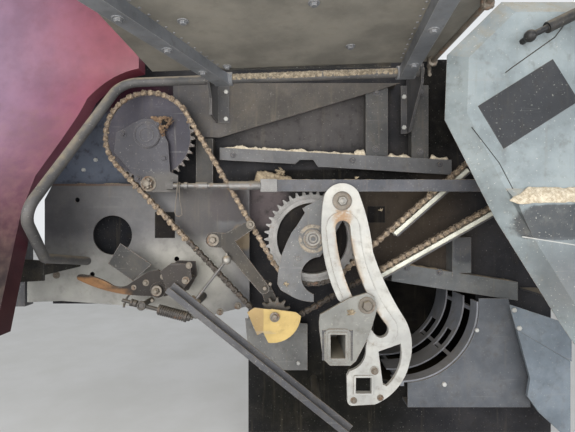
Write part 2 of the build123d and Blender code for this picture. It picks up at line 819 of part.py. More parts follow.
def cam_plate():
    """The plate on the drive shaft's front end that carries the slotted arm's pivot."""
    edge = Curve() + Polyline((14, -275), (-23, -254), (-35, -233), (-32, -193), (-20, -133), (-1, -87), (14, -57),
                              (33, -32), (60, 11), (51, 26), (66, 35), (pivot_x - 22, pivot_z + 30),
                              (pivot_x + 20, pivot_z + 30), (pivot_x + 34, pivot_z - 20), (140, -100), (111, -140))
    edge += ThreePointArc((111, -140), (52, -180), (90, -269))
    edge += Line((90, -269), (90, -294))
    edge += ThreePointArc((90, -294), (52, -290), (14, -275))
    cam = shaped_plate(edge, cam_back, cam_thickness)
    front = cam_back - cam_thickness
    cam += disc(drive_x, drive_z, cam_boss_radius, front, cam_boss_height)
    cam -= disc(drive_x, drive_z, cam_boss_radius - 6, front - cam_boss_height + 4, 4)
    cam -= disc(drive_x, drive_z, shaft_radius + running_clearance, 0, cam_cap - front)
    cam -= disc(36, -147, 10, cam_back, cam_thickness)
    arm_front = arm_back - arm_thickness
    cam += disc(pivot_x, pivot_z, pivot_spacer_radius, front, front - arm_back - seat_gap)
    cam += disc(pivot_x, pivot_z, pivot_radius, front, front - arm_front + pivot_head)
    return cam + disc(pivot_x, pivot_z, pivot_washer_radius, arm_front - seat_gap, pivot_washer)


def arm_outline():
    """The cast arm's outer edge: lobe, left side, square foot and the long curved right side."""
    edge = Curve() + ThreePointArc((236, 79), (178, 109), (120, 60))
    edge += ThreePointArc((120, 60), (118, -112), (168, -279))
    edge += Polyline((168, -279), (185, -293), (264, -408), (260, -440))
    edge += ThreePointArc((260, -440), (246, -490), (206, -515))
    edge += Polyline((206, -515), (197, -532), (199, -610))
    edge += ThreePointArc((199, -610), (203, -625), (216, -630))
    edge += Line((216, -630), (290, -626))
    edge += ThreePointArc((290, -626), (362, -575), (405, -490))
    edge += ThreePointArc((405, -490), (413, -420), (392, -345))
    edge += ThreePointArc((392, -345), (330, -235), (284, -120))
    edge += ThreePointArc((284, -120), (262, 0), (236, 79))
    return edge


def slotted_arm():
    """The cast arm: a lobe round its pivot, a curved slot with a raised border and a square socket."""
    arm = shaped_plate(arm_outline(), arm_back, arm_thickness)
    middle = CenterArc((slot_arc_x, slot_arc_z), slot_arc_radius, slot_start_angle, slot_sweep)
    front = arm_back - arm_thickness
    arm += extrude(layer(front) * SlotArc(middle, slot_width + 2 * arm_border_width), amount=arm_border)
    arm -= extrude(layer(0) * SlotArc(middle, slot_width), amount=far)
    lip = square_hole + 2 * square_lip
    arm += extrude(layer(front) * Pos(square_x, square_z) * RectangleRounded(lip, lip, square_lip), amount=arm_border)
    arm -= extrude(layer(0) * Pos(square_x, square_z) * Rectangle(square_hole, square_hole), amount=far)
    window = Curve() + Line((302, -450), (376, -424)) + ThreePointArc((376, -424), (372, -500), (330, -565))
    window += Polyline((330, -565), (317, -560), (302, -450))
    arm -= shaped_plate(window, 0, far)
    arm += disc(288, -512, 14, front, arm_border)
    return arm - disc(pivot_x, pivot_z, pivot_radius + running_clearance, 0, far)


def box_lever():
    """The fixed lever whose pin runs in the slot, welded on a rectangular cross tube."""
    outline = (
        (235, -256), (257, -250), (282, -262), (291, -299), (274, -360), (254, -409), (222, -470), (205, -485),
        (138, -485), (115, -464), (103, -368), (102, -344), (105, -320), (200, -267),
    )
    front = box_back - box_thickness
    width, height = box_hole_width + 2 * box_tube_wall, box_hole_height + 2 * box_tube_wall
    middle = Pos(box_tube_x, box_tube_z)
    lever = plate(outline, box_back, box_thickness)
    lever += extrude(layer(front) * middle * RectangleRounded(
        width + 2 * box_collar, height + 2 * box_collar, box_corner), amount=box_collar_height)
    lever += extrude(layer(-wall_thickness) * middle * RectangleRounded(width, height, box_tube_wall),
                     amount=box_tube_proud - front - wall_thickness)
    lever -= extrude(layer(-wall_thickness - box_plug) * middle * Rectangle(box_hole_width, box_hole_height),
                     amount=far)
    pin_back = arm_back + 10
    lever += disc(box_pin_x, box_pin_z, box_pin_radius, pin_back, pin_back - box_back)
    return lever + disc(box_pin_x, box_pin_z, box_pin_washer_radius, front, pivot_washer)


def lever_bracket():
    """The double plate that carries the hand lever, on two spacers from the front plate."""
    outline = ((-425, -185), (-388, -157), (-326, -160), (-320, -210), (-350, -262), (-437, -285), (-462, -250))
    front_outline = ((-425, -185), (-388, -157), (-326, -160), (-320, -210), (-350, -245), (-400, -262))
    wall = front_plate_depth - sheet
    bracket = plate(outline, lever_bracket_back, lever_bracket_sheet)
    bracket += plate(front_outline, lever_bracket_front, lever_bracket_sheet)
    spacer_radius = 12
    for x, z in ((-360, -180), (-400, -258)):
        bracket += disc(x, z, spacer_radius, wall, wall - lever_bracket_back)
    bolt_radius = 10
    bracket += disc(-340, -215, bolt_radius, lever_bracket_back, lever_bracket_back - lever_bracket_front)
    return bracket + disc(lever_pivot_x, lever_pivot_z, lever_pin_radius, lever_bracket_back,
                          lever_bracket_back - lever_bracket_front)


def hand_lever():
    """The rust-brown latch lever with its drooping grip."""
    edge = Curve() + ThreePointArc((-706, -218), (-713, -205), (-700, -198))
    edge += ThreePointArc((-700, -198), (-645, -210), (-592, -236))
    edge += ThreePointArc((-592, -236), (-560, -240), (-530, -226))
    edge += Polyline((-530, -226), (-474, -190), (-440, -182), (-410, -200), (-393, -250), (-430, -273), (-500, -270))
    edge += ThreePointArc((-500, -270), (-605, -255), (-706, -218))
    lever = shaped_plate(edge, lever_back, lever_thickness)
    lever += disc(lever_pivot_x, lever_pivot_z, lever_boss_radius, lever_back, lever_thickness + 5)
    hub_back = lever_bracket_back - lever_bracket_sheet - seat_gap
    lever += disc(lever_pivot_x, lever_pivot_z, lever_hub_radius, hub_back, hub_back - lever_back)
    return lever - disc(lever_pivot_x, lever_pivot_z, lever_pin_radius + running_clearance, 0, far)


def label_plate():
    """The blank sign plate, tilted, on its stalk from the front plate."""
    sign = plate(((-576, -94), (-468, -167), (-532, -224), (-618, -164)), label_back, label_sheet)
    wall = front_plate_depth - sheet
    stalk_radius = 8
    return sign + disc(-546, -162, stalk_radius, wall, wall - label_back)


def tension_spring():
    """The threaded rod, eye, wing nut and spring sleeve under the hand lever."""
    depth = -165.0
    start = Vector(-568, depth, -289)
    end = Vector(-326, depth, -352)
    along = (end - start).normalized()
    spring = rod(start, end, 6)
    for first, length, radius in ((128, 100, 15), (228, 14, 11), (40, 12, 12)):
        spring += rod(start + along * first, start + along * (first + length), radius)
    wall = front_plate_depth - sheet
    return spring + disc(-500, -307, 9, wall, wall - depth + 8)


def long_bar():
    """The angle bar that slopes down to the right across the bay's lower side."""
    length = math.hypot(bar_end_x - bar_start_x, bar_end_z - bar_start_z)
    fall = math.degrees(math.atan2(bar_end_z - bar_start_z, bar_end_x - bar_start_x))
    half = bar_height / 2
    bar = block(0, length, bar_back - bar_sheet, bar_back, -half, half)
    bar += block(0, length, bar_front, bar_back, -half, bar_sheet - half)
    bar += block(0, length, bar_front, bar_front + bar_sheet, -half, bar_lip - half)
    return Pos(bar_start_x, 0, bar_start_z) * Rot(0, -fall, 0) * bar


def bar_supports():
    """Two stand-offs that carry the long bar, one on the front plate and one on the wall."""
    slope = (bar_end_z - bar_start_z) / (bar_end_x - bar_start_x)
    supports = []
    for x, seat in zip(bar_support_x, (front_plate_depth - sheet, -wall_thickness)):
        z = bar_start_z + (x - bar_start_x) * slope
        supports.append(disc(x, z, bar_support_radius, seat, seat - bar_back))
    return Compound(supports)


def idler_plate():
    """The bolted plate below the idler sprocket, folded back to the wall at its lower edge."""
    outline = ((-157, -380), (74, -400), (74, -572), (-100, -572), (-145, -520))
    fold = block(-100, 74, upper_sheet_depth, -wall_thickness, -572, -572 + upper_sheet_thickness)
    return plate(outline, upper_sheet_depth, upper_sheet_thickness) + fold


def guide(start, end):
    """A strip that the chain strand slides on, and the angle rail below it with its two feet."""
    length = math.dist(start, end)
    turn = math.degrees(math.atan2(end[1] - start[1], end[0] - start[0]))
    strip_low = -guide_gap - guide_strip
    half = guide_strip_width / 2
    strip = block(0, length, chain_depth - half, chain_depth + half, strip_low, -guide_gap)
    half = guide_rail_width / 2
    rail = block(0, length, chain_depth - half, chain_depth + half, strip_low - guide_rail, strip_low)
    for share in (0.4, 0.85):
        middle = length * share
        rail += block(middle - guide_foot_width / 2, middle + guide_foot_width / 2, chain_depth + half,
                      -wall_thickness, strip_low - guide_rail, strip_low)
    place = Pos(start[0], 0, start[1]) * Rot(0, -turn, 0)
    return place * strip, place * rail


def chain_guides():
    """Both guides lie along the lower side of their strands."""
    strands = chain_route(chain_wheels(rear_x))
    strips, rails = [], []
    for leg, first, last in ((strands[0], 0.72, 0.30), (strands[3], 0.34, 0.84)):
        (x0, z0), (x1, z1) = leg[0], leg[1]
        a = (x0 + (x1 - x0) * first, z0 + (z1 - z0) * first)
        b = (x0 + (x1 - x0) * last, z0 + (z1 - z0) * last)
        strip, rail = guide(a, b)
        strips.append(strip)
        rails.append(rail)
    return Compound(strips), Compound(rails)


def rear_beam():
    """The box beam that slopes to the right below the lower guide, and the short post on it."""
    front = 60
    beam = plate(((384, -240), (384, -172), (849, -244), (849, -312)), -wall_thickness, front)
    return beam + block(608, 677, -wall_thickness - front, -wall_thickness, -210, -79)


def rear_side_plate():
    """The plate with the arc-shaped cut edge beside the trough, folded back along its foot."""
    outline = ((560, -302), (808, -302), (879, -588), (890, side_plate_foot), (440, side_plate_foot), (440, -560))
    side = plate(outline, side_plate_depth, side_plate_thickness)
    side -= disc(trough_x, trough_z, trough_radius + trough_sheet + seat_gap, 0, far)
    return side + block(440, 890, side_plate_depth, -wall_thickness, side_plate_foot,
                        side_plate_foot + side_plate_thickness)


def trough_ring(inner, outer):
    """A flat ring sector round the trough's centre."""
    start = Pos(trough_x, trough_z)
    middle = CenterArc((0, 0), (inner + outer) / 2, trough_start, trough_sweep)
    ring = start * (Circle(outer) - Circle(inner))
    rays = [(0, 0)]
    for share in (0, 0.5, 1):
        point = middle @ share
        rays.append((point.X * 2, point.Y * 2))
    return ring & (start * make_face(Polyline(*rays, close=True)))


def curved_grate():
    """The rotor trough: curved bands with slots between them, on three bars along their outside."""
    outer = trough_radius + trough_sheet
    trough = None
    for front, back in trough_bands:
        band = extrude(layer(back) * trough_ring(trough_radius, outer), amount=back - front)
        if front != trough_bands[0][0]:
            centre = (front + back) / 2
            half = (back - front) / 4
            window = block(0, far, centre - half, centre + half, -45, 45)
            band -= Pos(trough_x, 0, trough_z) * Rot(0, 38, 0) * window
        trough = band if trough is None else trough + band
    front, back = side_plate_depth + seat_gap, trough_bands[-1][1]
    for angle in (-5, -45, -90):
        bar = block(outer - 1, outer + trough_bar, front, back, -trough_bar / 2, trough_bar / 2)
        trough += Pos(trough_x, 0, trough_z) * Rot(0, -angle, 0) * bar
    return trough


def trough_casing():
    """The dark box round the trough behind the wall."""
    back = trough_bands[-1][1] + seat_gap
    box = block(casing_left, casing_right, 0, back + sheet, casing_low, casing_high)
    return box - block(casing_left + sheet, casing_right - sheet, 0, back, casing_low + sheet, casing_high - sheet)


def rear_bracket():
    """The folded bracket at the lower right and the panel that hangs from it."""
    strip_back, panel_back, thickness = -120, -108, 6
    strip = ((785, -313), (965, -372), (1005, -395), (1005, -515), (808, -399))
    panel = ((815, -402), (1005, -514), (1005, -800), (972, -770), (895, -700), (852, -640), (862, -577))
    bracket = plate(strip, strip_back, thickness)
    bracket += plate(panel, panel_back, -strip_back + panel_back)
    return bracket + block(940, 1005, strip_back + thickness, -wall_thickness, -640, -640 + thickness)


def strap_catch():
    """The rubber strap on a post of the front plate that holds the cowl shut."""
    wall = front_plate_depth - sheet
    flap = Curve() + Polyline((-838, -205), (-752, -200), (-752, -138), (-838, -132))
    flap += ThreePointArc((-838, -132), (-858, -168), (-838, -205))
    strap = shaped_plate(flap, strap_front, strap_sheet)
    return strap + block(-785, -760, strap_front, wall, -185, -155)


def write(name, shape):
    export_step(shape, f"parts/{name}.step")


os.makedirs("parts", exist_ok=True)
guide_strips, guide_rails = chain_guides()
upper_shaft_front = carrier_back - carrier_boss_height + seat_gap
drive_shaft_front = cam_back - cam_thickness + cam_cap + seat_gap
for name, shape in (
    ("chain", roller_chain()),
    ("upper_sprocket", upper_sprocket()),
    ("upper_shaft", shaft(upper_x, upper_z, upper_shaft_front)),
    ("drive_sprocket", drive_sprocket()),
    ("drive_shaft", shaft(drive_x, drive_z, drive_shaft_front)),
    ("rear_sprocket", rear_sprocket()),
    ("rear_shaft", shaft(rear_x, rear_z, chain_depth - shaft_head)),
    ("idler_sprocket", idler_sprocket()),
    ("bearing_housings", Compound([housing(x, z) for x, z in wheel_places])),
    ("chamber_wall", chamber_wall()),
    ("front_plate", front_plate()),
    ("wall_column", wall_column()),
    ("upper_sheet", upper_sheet()),
    ("upper_rail", upper_rail()),
    ("frame_posts", frame_posts()),
    ("hinge_brackets", hinge_brackets()),
    ("hoop_tube", hoop_tube()),
    ("shield_ribs", shield_ribs()),
    ("shield_panel", shield_panel()),
    ("shield_latch_rod", shield_latch_rod()),
    ("front_cowl", front_cowl()),
    ("front_post", front_post()),
    ("rear_cover", rear_cover()),
    ("cover_supports", cover_supports()),
    ("gas_strut", gas_strut()),
    ("bearing_carrier", bearing_carrier()),
    ("tie_rod", tie_rod()),
    ("tie_bar", tie_bar()),
    ("tension_arm", tension_arm()),
    ("tension_rod", tension_rod()),
    ("chain_guard", chain_guard()),
    ("cam_plate", cam_plate()),
    ("slotted_arm", slotted_arm()),
    ("box_lever", box_lever()),
    ("lever_bracket", lever_bracket()),
    ("hand_lever", hand_lever()),
    ("label_plate", label_plate()),
    ("tension_spring", tension_spring()),
    ("long_bar", long_bar()),
    ("bar_supports", bar_supports()),
    ("idler_plate", idler_plate()),
    ("guide_strips", guide_strips),
    ("guide_rails", guide_rails),
    ("rear_beam", rear_beam()),
    ("rear_side_plate", rear_side_plate()),
    ("curved_grate", curved_grate()),
    ("trough_casing", trough_casing()),
    ("rear_bracket", rear_bracket()),
    ("strap_catch", strap_catch()),
):
    write(name, shape)
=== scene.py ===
import json
import random
from math import asin, atan2, cos, dist, hypot, pi, radians, sin, tan

import bmesh
import bpy
from mathutils import Matrix, Vector, noise


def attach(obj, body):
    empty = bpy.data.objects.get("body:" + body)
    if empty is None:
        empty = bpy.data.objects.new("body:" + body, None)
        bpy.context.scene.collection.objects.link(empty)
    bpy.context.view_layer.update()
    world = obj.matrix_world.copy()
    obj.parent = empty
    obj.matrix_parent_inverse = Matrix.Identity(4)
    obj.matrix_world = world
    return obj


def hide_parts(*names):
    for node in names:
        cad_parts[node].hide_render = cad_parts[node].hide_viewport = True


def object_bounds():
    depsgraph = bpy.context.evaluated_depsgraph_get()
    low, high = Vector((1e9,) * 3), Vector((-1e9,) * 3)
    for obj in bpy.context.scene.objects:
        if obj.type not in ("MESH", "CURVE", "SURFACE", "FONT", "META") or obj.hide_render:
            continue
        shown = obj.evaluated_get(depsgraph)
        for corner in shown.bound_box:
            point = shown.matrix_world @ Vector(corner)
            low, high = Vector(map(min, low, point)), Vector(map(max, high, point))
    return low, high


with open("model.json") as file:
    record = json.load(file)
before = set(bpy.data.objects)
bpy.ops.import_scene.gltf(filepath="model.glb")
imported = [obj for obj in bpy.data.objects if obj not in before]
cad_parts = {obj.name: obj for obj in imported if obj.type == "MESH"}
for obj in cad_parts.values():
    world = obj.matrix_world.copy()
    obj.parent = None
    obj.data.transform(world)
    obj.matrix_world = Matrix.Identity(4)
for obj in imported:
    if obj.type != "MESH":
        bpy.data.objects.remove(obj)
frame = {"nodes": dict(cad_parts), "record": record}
cad_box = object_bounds()
rng = random.Random(7)


def placed(name, data):
    """A new object in the scene."""
    thing = bpy.data.objects.new(name, data)
    bpy.context.scene.collection.objects.link(thing)
    return thing


# Camera: level, straight at the wall, at the height of the part's origin
camera_distance = 1.54
camera_lens = 25.04
camera_data = bpy.data.cameras.new("camera")
camera_data.lens = camera_lens
camera_data.clip_start = 0.02
camera = placed("camera", camera_data)
camera.location = (0, -camera_distance, 0)
camera.rotation_euler = (radians(90), 0, 0)
bpy.context.scene.camera = camera


class Value:
    """One output in a finish, so that maths on it reads as a plain expression."""

    def __init__(self, finish, output):
        self.finish = finish
        self.output = output

    def maths(self, operation, *values):
        return self.finish.node("ShaderNodeMath", {"operation": operation}, dict(enumerate(values)))

    def __add__(self, other):
        return self.maths("ADD", self, other)

    def __radd__(self, other):
        return self.maths("ADD", other, self)

    def __sub__(self, other):
        return self.maths("SUBTRACT", self, other)

    def __rsub__(self, other):
        return self.maths("SUBTRACT", other, self)

    def __mul__(self, other):
        return self.maths("MULTIPLY", self, other)

    def __rmul__(self, other):
        return self.maths("MULTIPLY", other, self)

    def __truediv__(self, other):
        return self.maths("DIVIDE", self, other)

    def __rtruediv__(self, other):
        return self.maths("DIVIDE", other, self)

    def __pow__(self, other):
        return self.maths("POWER", self, other)

    def __abs__(self):
        return self.maths("ABSOLUTE", self)

    def between(self, low, high):
        """0 below low, 1 above high, and a soft ramp between them."""
        settings = {"clamp": True, "interpolation_type": "SMOOTHSTEP"}
        return self.finish.node("ShaderNodeMapRange", settings, {0: self, 1: low, 2: high})


class Finish:
    """The nodes of a material or of the world; node() makes every one of them."""

    def __init__(self, owner):
        owner.use_nodes = True
        self.owner = owner
        self.tree = owner.node_tree
        self.tree.nodes.clear()

    def node(self, kind, settings, inputs, output=0):
        node = self.tree.nodes.new(kind)
        for key, value in settings.items():
            setattr(node, key, value)
        for key, value in inputs.items():
            socket = node.inputs[key]
            if isinstance(value, Value):
                self.tree.links.new(value.output, socket)
            elif isinstance(value, tuple) and len(value) == 3 and socket.type == "RGBA":
                socket.default_value = (*value, 1)
            else:
                socket.default_value = value
        return Value(self, node.outputs[output]) if node.outputs else None

    def place(self):
        return self.node("ShaderNodeTexCoord", {}, {}, "Object")

    def metres(self, axis):
        """The place on the piece along one of its axes."""
        return self.node("ShaderNodeSeparateXYZ", {}, {0: self.place()}, axis)

    def facing(self, axis):
        """How far the surface faces along one of the piece's own axes, from -1 to 1."""
        normal = self.node("ShaderNodeTexCoord", {}, {}, "Normal")
        return self.node("ShaderNodeSeparateXYZ", {}, {0: normal}, axis)

    def noise(self, scale, detail, roughness, stretch=None):
        place = self.place()
        if stretch:
            place = self.node("ShaderNodeMapping", {}, {"Vector": place, "Scale": stretch})
        inputs = {"Vector": place, "Scale": scale, "Detail": detail, "Roughness": roughness}
        return self.node("ShaderNodeTexNoise", {}, inputs)

    def mix(self, amount, first, second):
        return self.node("ShaderNodeMix", {"data_type": "RGBA"}, {0: amount, 6: first, 7: second}, 2)

    def edges(self, radius):
        """1 along the piece's sharp edges, 0 on its flats."""
        rounded = self.node("ShaderNodeBevel", {"samples": 4}, {"Radius": radius})
        normal = self.node("ShaderNodeNewGeometry", {}, {}, "Normal")
        settings = {"operation": "DOT_PRODUCT"}
        aligned = self.node("ShaderNodeVectorMath", settings, {0: rounded, 1: normal}, "Value")
        return (1 - aligned).between(0.01, 0.16)

    def bump(self, height, strength, distance):
        """A normal with the height's relief, rounded over sharp edges."""
        rounded = self.node("ShaderNodeBevel", {"samples": 4}, {"Radius": 0.0012})
        inputs = {"Strength": strength, "Distance": distance, "Height": height, "Normal": rounded}
        return self.node("ShaderNodeBump", {}, inputs)

    def surface(self, **sockets):
        """Sockets are named as on the Principled shader, with _ for a space."""
        inputs = {key.replace("_", " "): value for key, value in sockets.items()}
        shader = self.node("ShaderNodeBsdfPrincipled", {}, inputs)
        self.node("ShaderNodeOutputMaterial", {}, {"Surface": shader})
        return self.owner


straw_dust = (0.36, 0.29, 0.19)
rust_dark = (0.050, 0.028, 0.018)
rust_light = (0.150, 0.075, 0.038)
bare_steel = (0.30, 0.29, 0.28)


def scaled(colour, share):
    return tuple(min(1.0, part * share) for part in colour)


def painted(name, colour, dust, rust, roughness, coat=0.0, haze=0.10, bare=None, specular=0.35,
            patches=(), stains=(), worn=0.25, rim=0.0022, mottle=1.0, specks=0.25):
    """Paint on sheet metal: cloudy colour, dust on what faces up, grime, scratches, rusty edges, and pale
    edges that are partly worn paint and partly a painted highlight.

    Patches and stains are in metres. A patch is x, z, half width, half height, softness and colour.
    A stain runs along a circle: x, z, radius, width, lowest and highest z, and colour.
    """
    finish = Finish(bpy.data.materials.new(name))
    edge = finish.edges(rim)
    front = (0 - finish.facing(1)).between(-0.3, 0.1)
    cloud = finish.noise(7, 5, 0.6)
    grime = finish.noise(34, 6, 0.62)
    speck = finish.noise(260, 3, 0.6)
    down = finish.noise(60, 4, 0.55, (1.0, 1.0, 0.07))
    across = finish.noise(75, 3, 0.5, (0.06, 1.0, 1.0))
    base = finish.mix(cloud.between(0.32, 0.68), scaled(colour, 0.78), scaled(colour, 1.18))
    for x, z, half_width, half_height, soft, tint in patches:
        sideways = (finish.metres(0) - x) / half_width
        upwards = (finish.metres(2) - z) / half_height
        away = (sideways ** 4 + upwards ** 4) ** 0.25
        inside = (1.15 - away - grime * 0.3).between(-soft, soft) * front
        tinted = finish.mix(cloud.between(0.35, 0.65), scaled(tint, 0.86), scaled(tint, 1.12))
        base = finish.mix(inside, base, tinted)
    for x, z, radius, width, low, high, tint in stains:
        height = finish.metres(2)
        away = abs(((finish.metres(0) - x) ** 2 + (height - z) ** 2) ** 0.5 - radius)
        part = height.between(low - 0.02, low + 0.02) * (1 - height.between(high - 0.02, high + 0.02))
        stained = (1 - away.between(width * 0.45, width)) * grime.between(0.35, 0.56) * part
        base = finish.mix(stained * front, base, tint)
    base = finish.mix(grime.between(0.50, 0.74) * (0.55 * mottle), base, scaled(colour, 0.50))
    streaks = down.between(0.56, 0.72) * (0.30 * dust)
    base = finish.mix(streaks, base, scaled(straw_dust, 0.45))
    thin = (cloud * 0.55 + grime * 0.35 + speck * 0.25).between(0.50, 0.78) * haze
    base = finish.mix(thin, base, straw_dust)
    bared = min(1.0, rust * 3)
    scratch = (across.between(0.655, 0.70) + down.between(0.70, 0.73)) * (0.25 * bared)
    base = finish.mix(scratch, base, scaled(bare_steel, 0.8))
    # Pale edges: partly worn paint, partly a painted highlight along every sharp edge
    base = finish.mix(edge * worn, base, finish.mix(cloud, scaled(colour, 2.0), (0.42, 0.41, 0.39)))
    base = finish.mix(finish.noise(170, 2, 0.5).between(0.66, 0.74) * specks, base, (0.50, 0.48, 0.43))
    chips = (edge * (grime * 0.8 + speck * 0.5)).between(0.40, 0.72) * bared
    base = finish.mix(chips, base, finish.mix(speck.between(0.42, 0.58), bare_steel, rust_light))
    spots = (grime * 0.7 + speck * 0.5).between(0.77, 0.86) * min(1.0, rust * 2)
    base = finish.mix(spots, base, finish.mix(speck.between(0.4, 0.6), rust_dark, rust_light))
    dusty = (finish.facing(2) * 0.85 + grime * 0.9 - 0.62).between(0.0, 0.55) * dust
    base = finish.mix(dusty, base, straw_dust)
    metal = 0.0
    if bare:
        # Bare, polished teeth outside a radius round the sprocket's own axis
        x, z, radius = bare
        away = ((finish.metres(0) - x) ** 2 + (finish.metres(2) - z) ** 2) ** 0.5
        teeth = (away + grime * 0.006).between(radius - 0.002, radius + 0.002) * (0.22 + 0.78 * edge)
        base = finish.mix(teeth, base, finish.mix(speck.between(0.35, 0.65), (0.50, 0.49, 0.42), rust_light))
        metal = teeth * 0.3
    rough = roughness + dusty * 0.35 + grime * 0.16 + thin * 0.4 - scratch * 0.2
    relief = speck * 0.30 + grime * 0.45 + dusty * 0.8 + cloud * 0.5
    return finish.surface(
        Base_Color=base, Roughness=rough, Metallic=metal, Coat_Weight=coat, Coat_Roughness=0.15,
        Specular_IOR_Level=specular, Normal=finish.bump(relief, 0.35, 0.0007))


def bare_metal(name, colour, rust, dust, roughness, metallic):
    """Steel that was never painted: streaks, rust in patches and dust in what faces up."""
    finish = Finish(bpy.data.materials.new(name))
    cloud = finish.noise(16, 5, 0.6)
    grime = finish.noise(70, 6, 0.65)
    speck = finish.noise(420, 2, 0.5)
    base = finish.mix(cloud.between(0.3, 0.7), scaled(colour, 0.6), colour)
    base = finish.mix(speck.between(0.55, 0.7) * 0.4, base, scaled(colour, 1.5))
    rusty = (cloud * 0.6 + grime * 0.7).between(0.84 - 0.34 * rust, 1.04 - 0.34 * rust)
    base = finish.mix(rusty, base, finish.mix(grime.between(0.35, 0.68), rust_dark, rust_light))
    dusty = (finish.facing(2) * 0.8 + grime * 0.9 - 0.55).between(0.0, 0.6) * dust
    base = finish.mix(dusty, base, straw_dust)
    rough = roughness + rusty * 0.35 + dusty * 0.3 + speck * 0.08
    metal = (1 - rusty) * (1 - dusty) * metallic
    height = grime * 0.7 + speck * 0.3 + rusty * 0.5
    return finish.surface(Base_Color=base, Roughness=rough, Metallic=metal,
                          Normal=finish.bump(height, 0.5, 0.0006))


def caked(name, colour, dark):
    """Dry straw dust that has caked into crusts and clumps."""
    finish = Finish(bpy.data.materials.new(name))
    clump = finish.noise(90, 6, 0.7)
    grain = finish.noise(600, 3, 0.6)
    base = finish.mix(clump.between(0.35, 0.68), dark, colour)
    base = finish.mix(grain.between(0.52, 0.68) * 0.6, base, scaled(colour, 1.35))
    height = clump * 0.8 + grain * 0.4
    return finish.surface(Base_Color=base, Roughness=0.95, Specular_IOR_Level=0.15,
                          Normal=finish.bump(height, 0.8, 0.0016))


def by_name(*materials):
    """Materials under their own names, without the number that Blender adds to a taken name."""
    return {material.name.split(".")[0]: material for material in materials}


finishes = by_name(
    painted("dark_paint", (0.036, 0.035, 0.042), 0.40, 0.15, 0.50),
    painted("grey_paint", (0.062, 0.063, 0.070), 0.55, 0.20, 0.48),
    painted("light_grey_paint", (0.190, 0.205, 0.215), 0.50, 0.18, 0.44),
    painted("red_paint", (0.150, 0.029, 0.046), 0.10, 0.02, 0.30, coat=0.15, haze=0.03,
            specks=0.0, worn=0.1, mottle=0.15, patches=(
                # Pale lilac patch at the upper left: a painted reflection of the sky on the glossy cowl
                (-1.10, 0.50, 0.30, 0.44, 0.9, (0.195, 0.125, 0.185)),
                # Near-black patch low down: painted shade
                (-0.88, -0.36, 0.34, 0.40, 0.6, (0.010, 0.003, 0.004)))),
    painted("yellow_paint", (0.455, 0.325, 0.118), 0.35, 0.40, 0.50, patches=(
        # Darker patch on the guard's folded wing: painted shade
        (-0.112, -0.345, 0.030, 0.07, 0.10, (0.30, 0.205, 0.085)),)),
    painted("cast_grey", (0.415, 0.412, 0.390), 0.30, 0.50, 0.56, haze=0.25, worn=0.4, stains=(
        (0.802, -0.001, 0.620, 0.042, -0.36, 0.03, (0.33, 0.245, 0.165)),
        (0.802, -0.001, 0.620, 0.030, -0.36, 0.02, (0.29, 0.175, 0.095)))),
    bare_metal("dusty_chain", (0.20, 0.155, 0.115), 0.45, 0.55, 0.50, 0.35),
    bare_metal("worn_steel", (0.17, 0.165, 0.16), 0.35, 0.45, 0.42, 0.6),
    bare_metal("bright_steel", (0.30, 0.285, 0.26), 0.45, 0.55, 0.42, 0.6),
    bare_metal("rusty_steel", (0.20, 0.175, 0.145), 0.55, 0.45, 0.52, 0.5),
    painted("black_steel", (0.016, 0.016, 0.017), 0.25, 0.05, 0.38),
    painted("brown_lever", (0.013, 0.009, 0.007), 0.20, 0.30, 0.55, haze=0.02, specks=0.1, patches=(
        (-0.700, -0.228, 0.110, 0.020, 0.3, (0.22, 0.110, 0.045)),
        (-0.595, -0.262, 0.06, 0.016, 0.3, (0.16, 0.08, 0.032)))),
    painted("guide_plastic", (0.60, 0.60, 0.52), 0.50, 0.15, 0.60),
    painted("black_rubber", (0.014, 0.014, 0.014), 0.30, 0.0, 0.75))
straw_crust = caked("straw_crust", (0.44, 0.36, 0.25), (0.17, 0.13, 0.085))
pale_crust = caked("pale_crust", (0.62, 0.55, 0.43), (0.34, 0.28, 0.20))
chain_crust = caked("chain_crust", (0.38, 0.30, 0.215), (0.085, 0.060, 0.042))
nest_crust = caked("nest_crust", (0.24, 0.165, 0.105), (0.075, 0.045, 0.030))
tube_crust = caked("tube_crust", (0.33, 0.275, 0.20), (0.11, 0.09, 0.066))
# Near-black: painted shade in the nest's hole and the drum's recess, black dirt there too, and the dark of
# seams and stickers
shade_and_dirt_black = painted("shade_and_dirt_black", (0.012, 0.011, 0.011), 0.20, 0.02, 0.8, haze=0.03, specular=0.1,
                    specks=0.05)
white_steel = painted("white_steel", (0.46, 0.46, 0.44), 0.25, 0.15, 0.35)
spring_steel = bare_metal("spring_steel", (0.10, 0.092, 0.085), 0.50, 0.25, 0.50, 0.5)

# Centres of the wheels in millimetres: x, z
upper_centre = (-488.0, 281.0)
drive_centre = (87.0, -78.0)
idler_centre = (-44.0, -344.0)
upper_root = 0.148

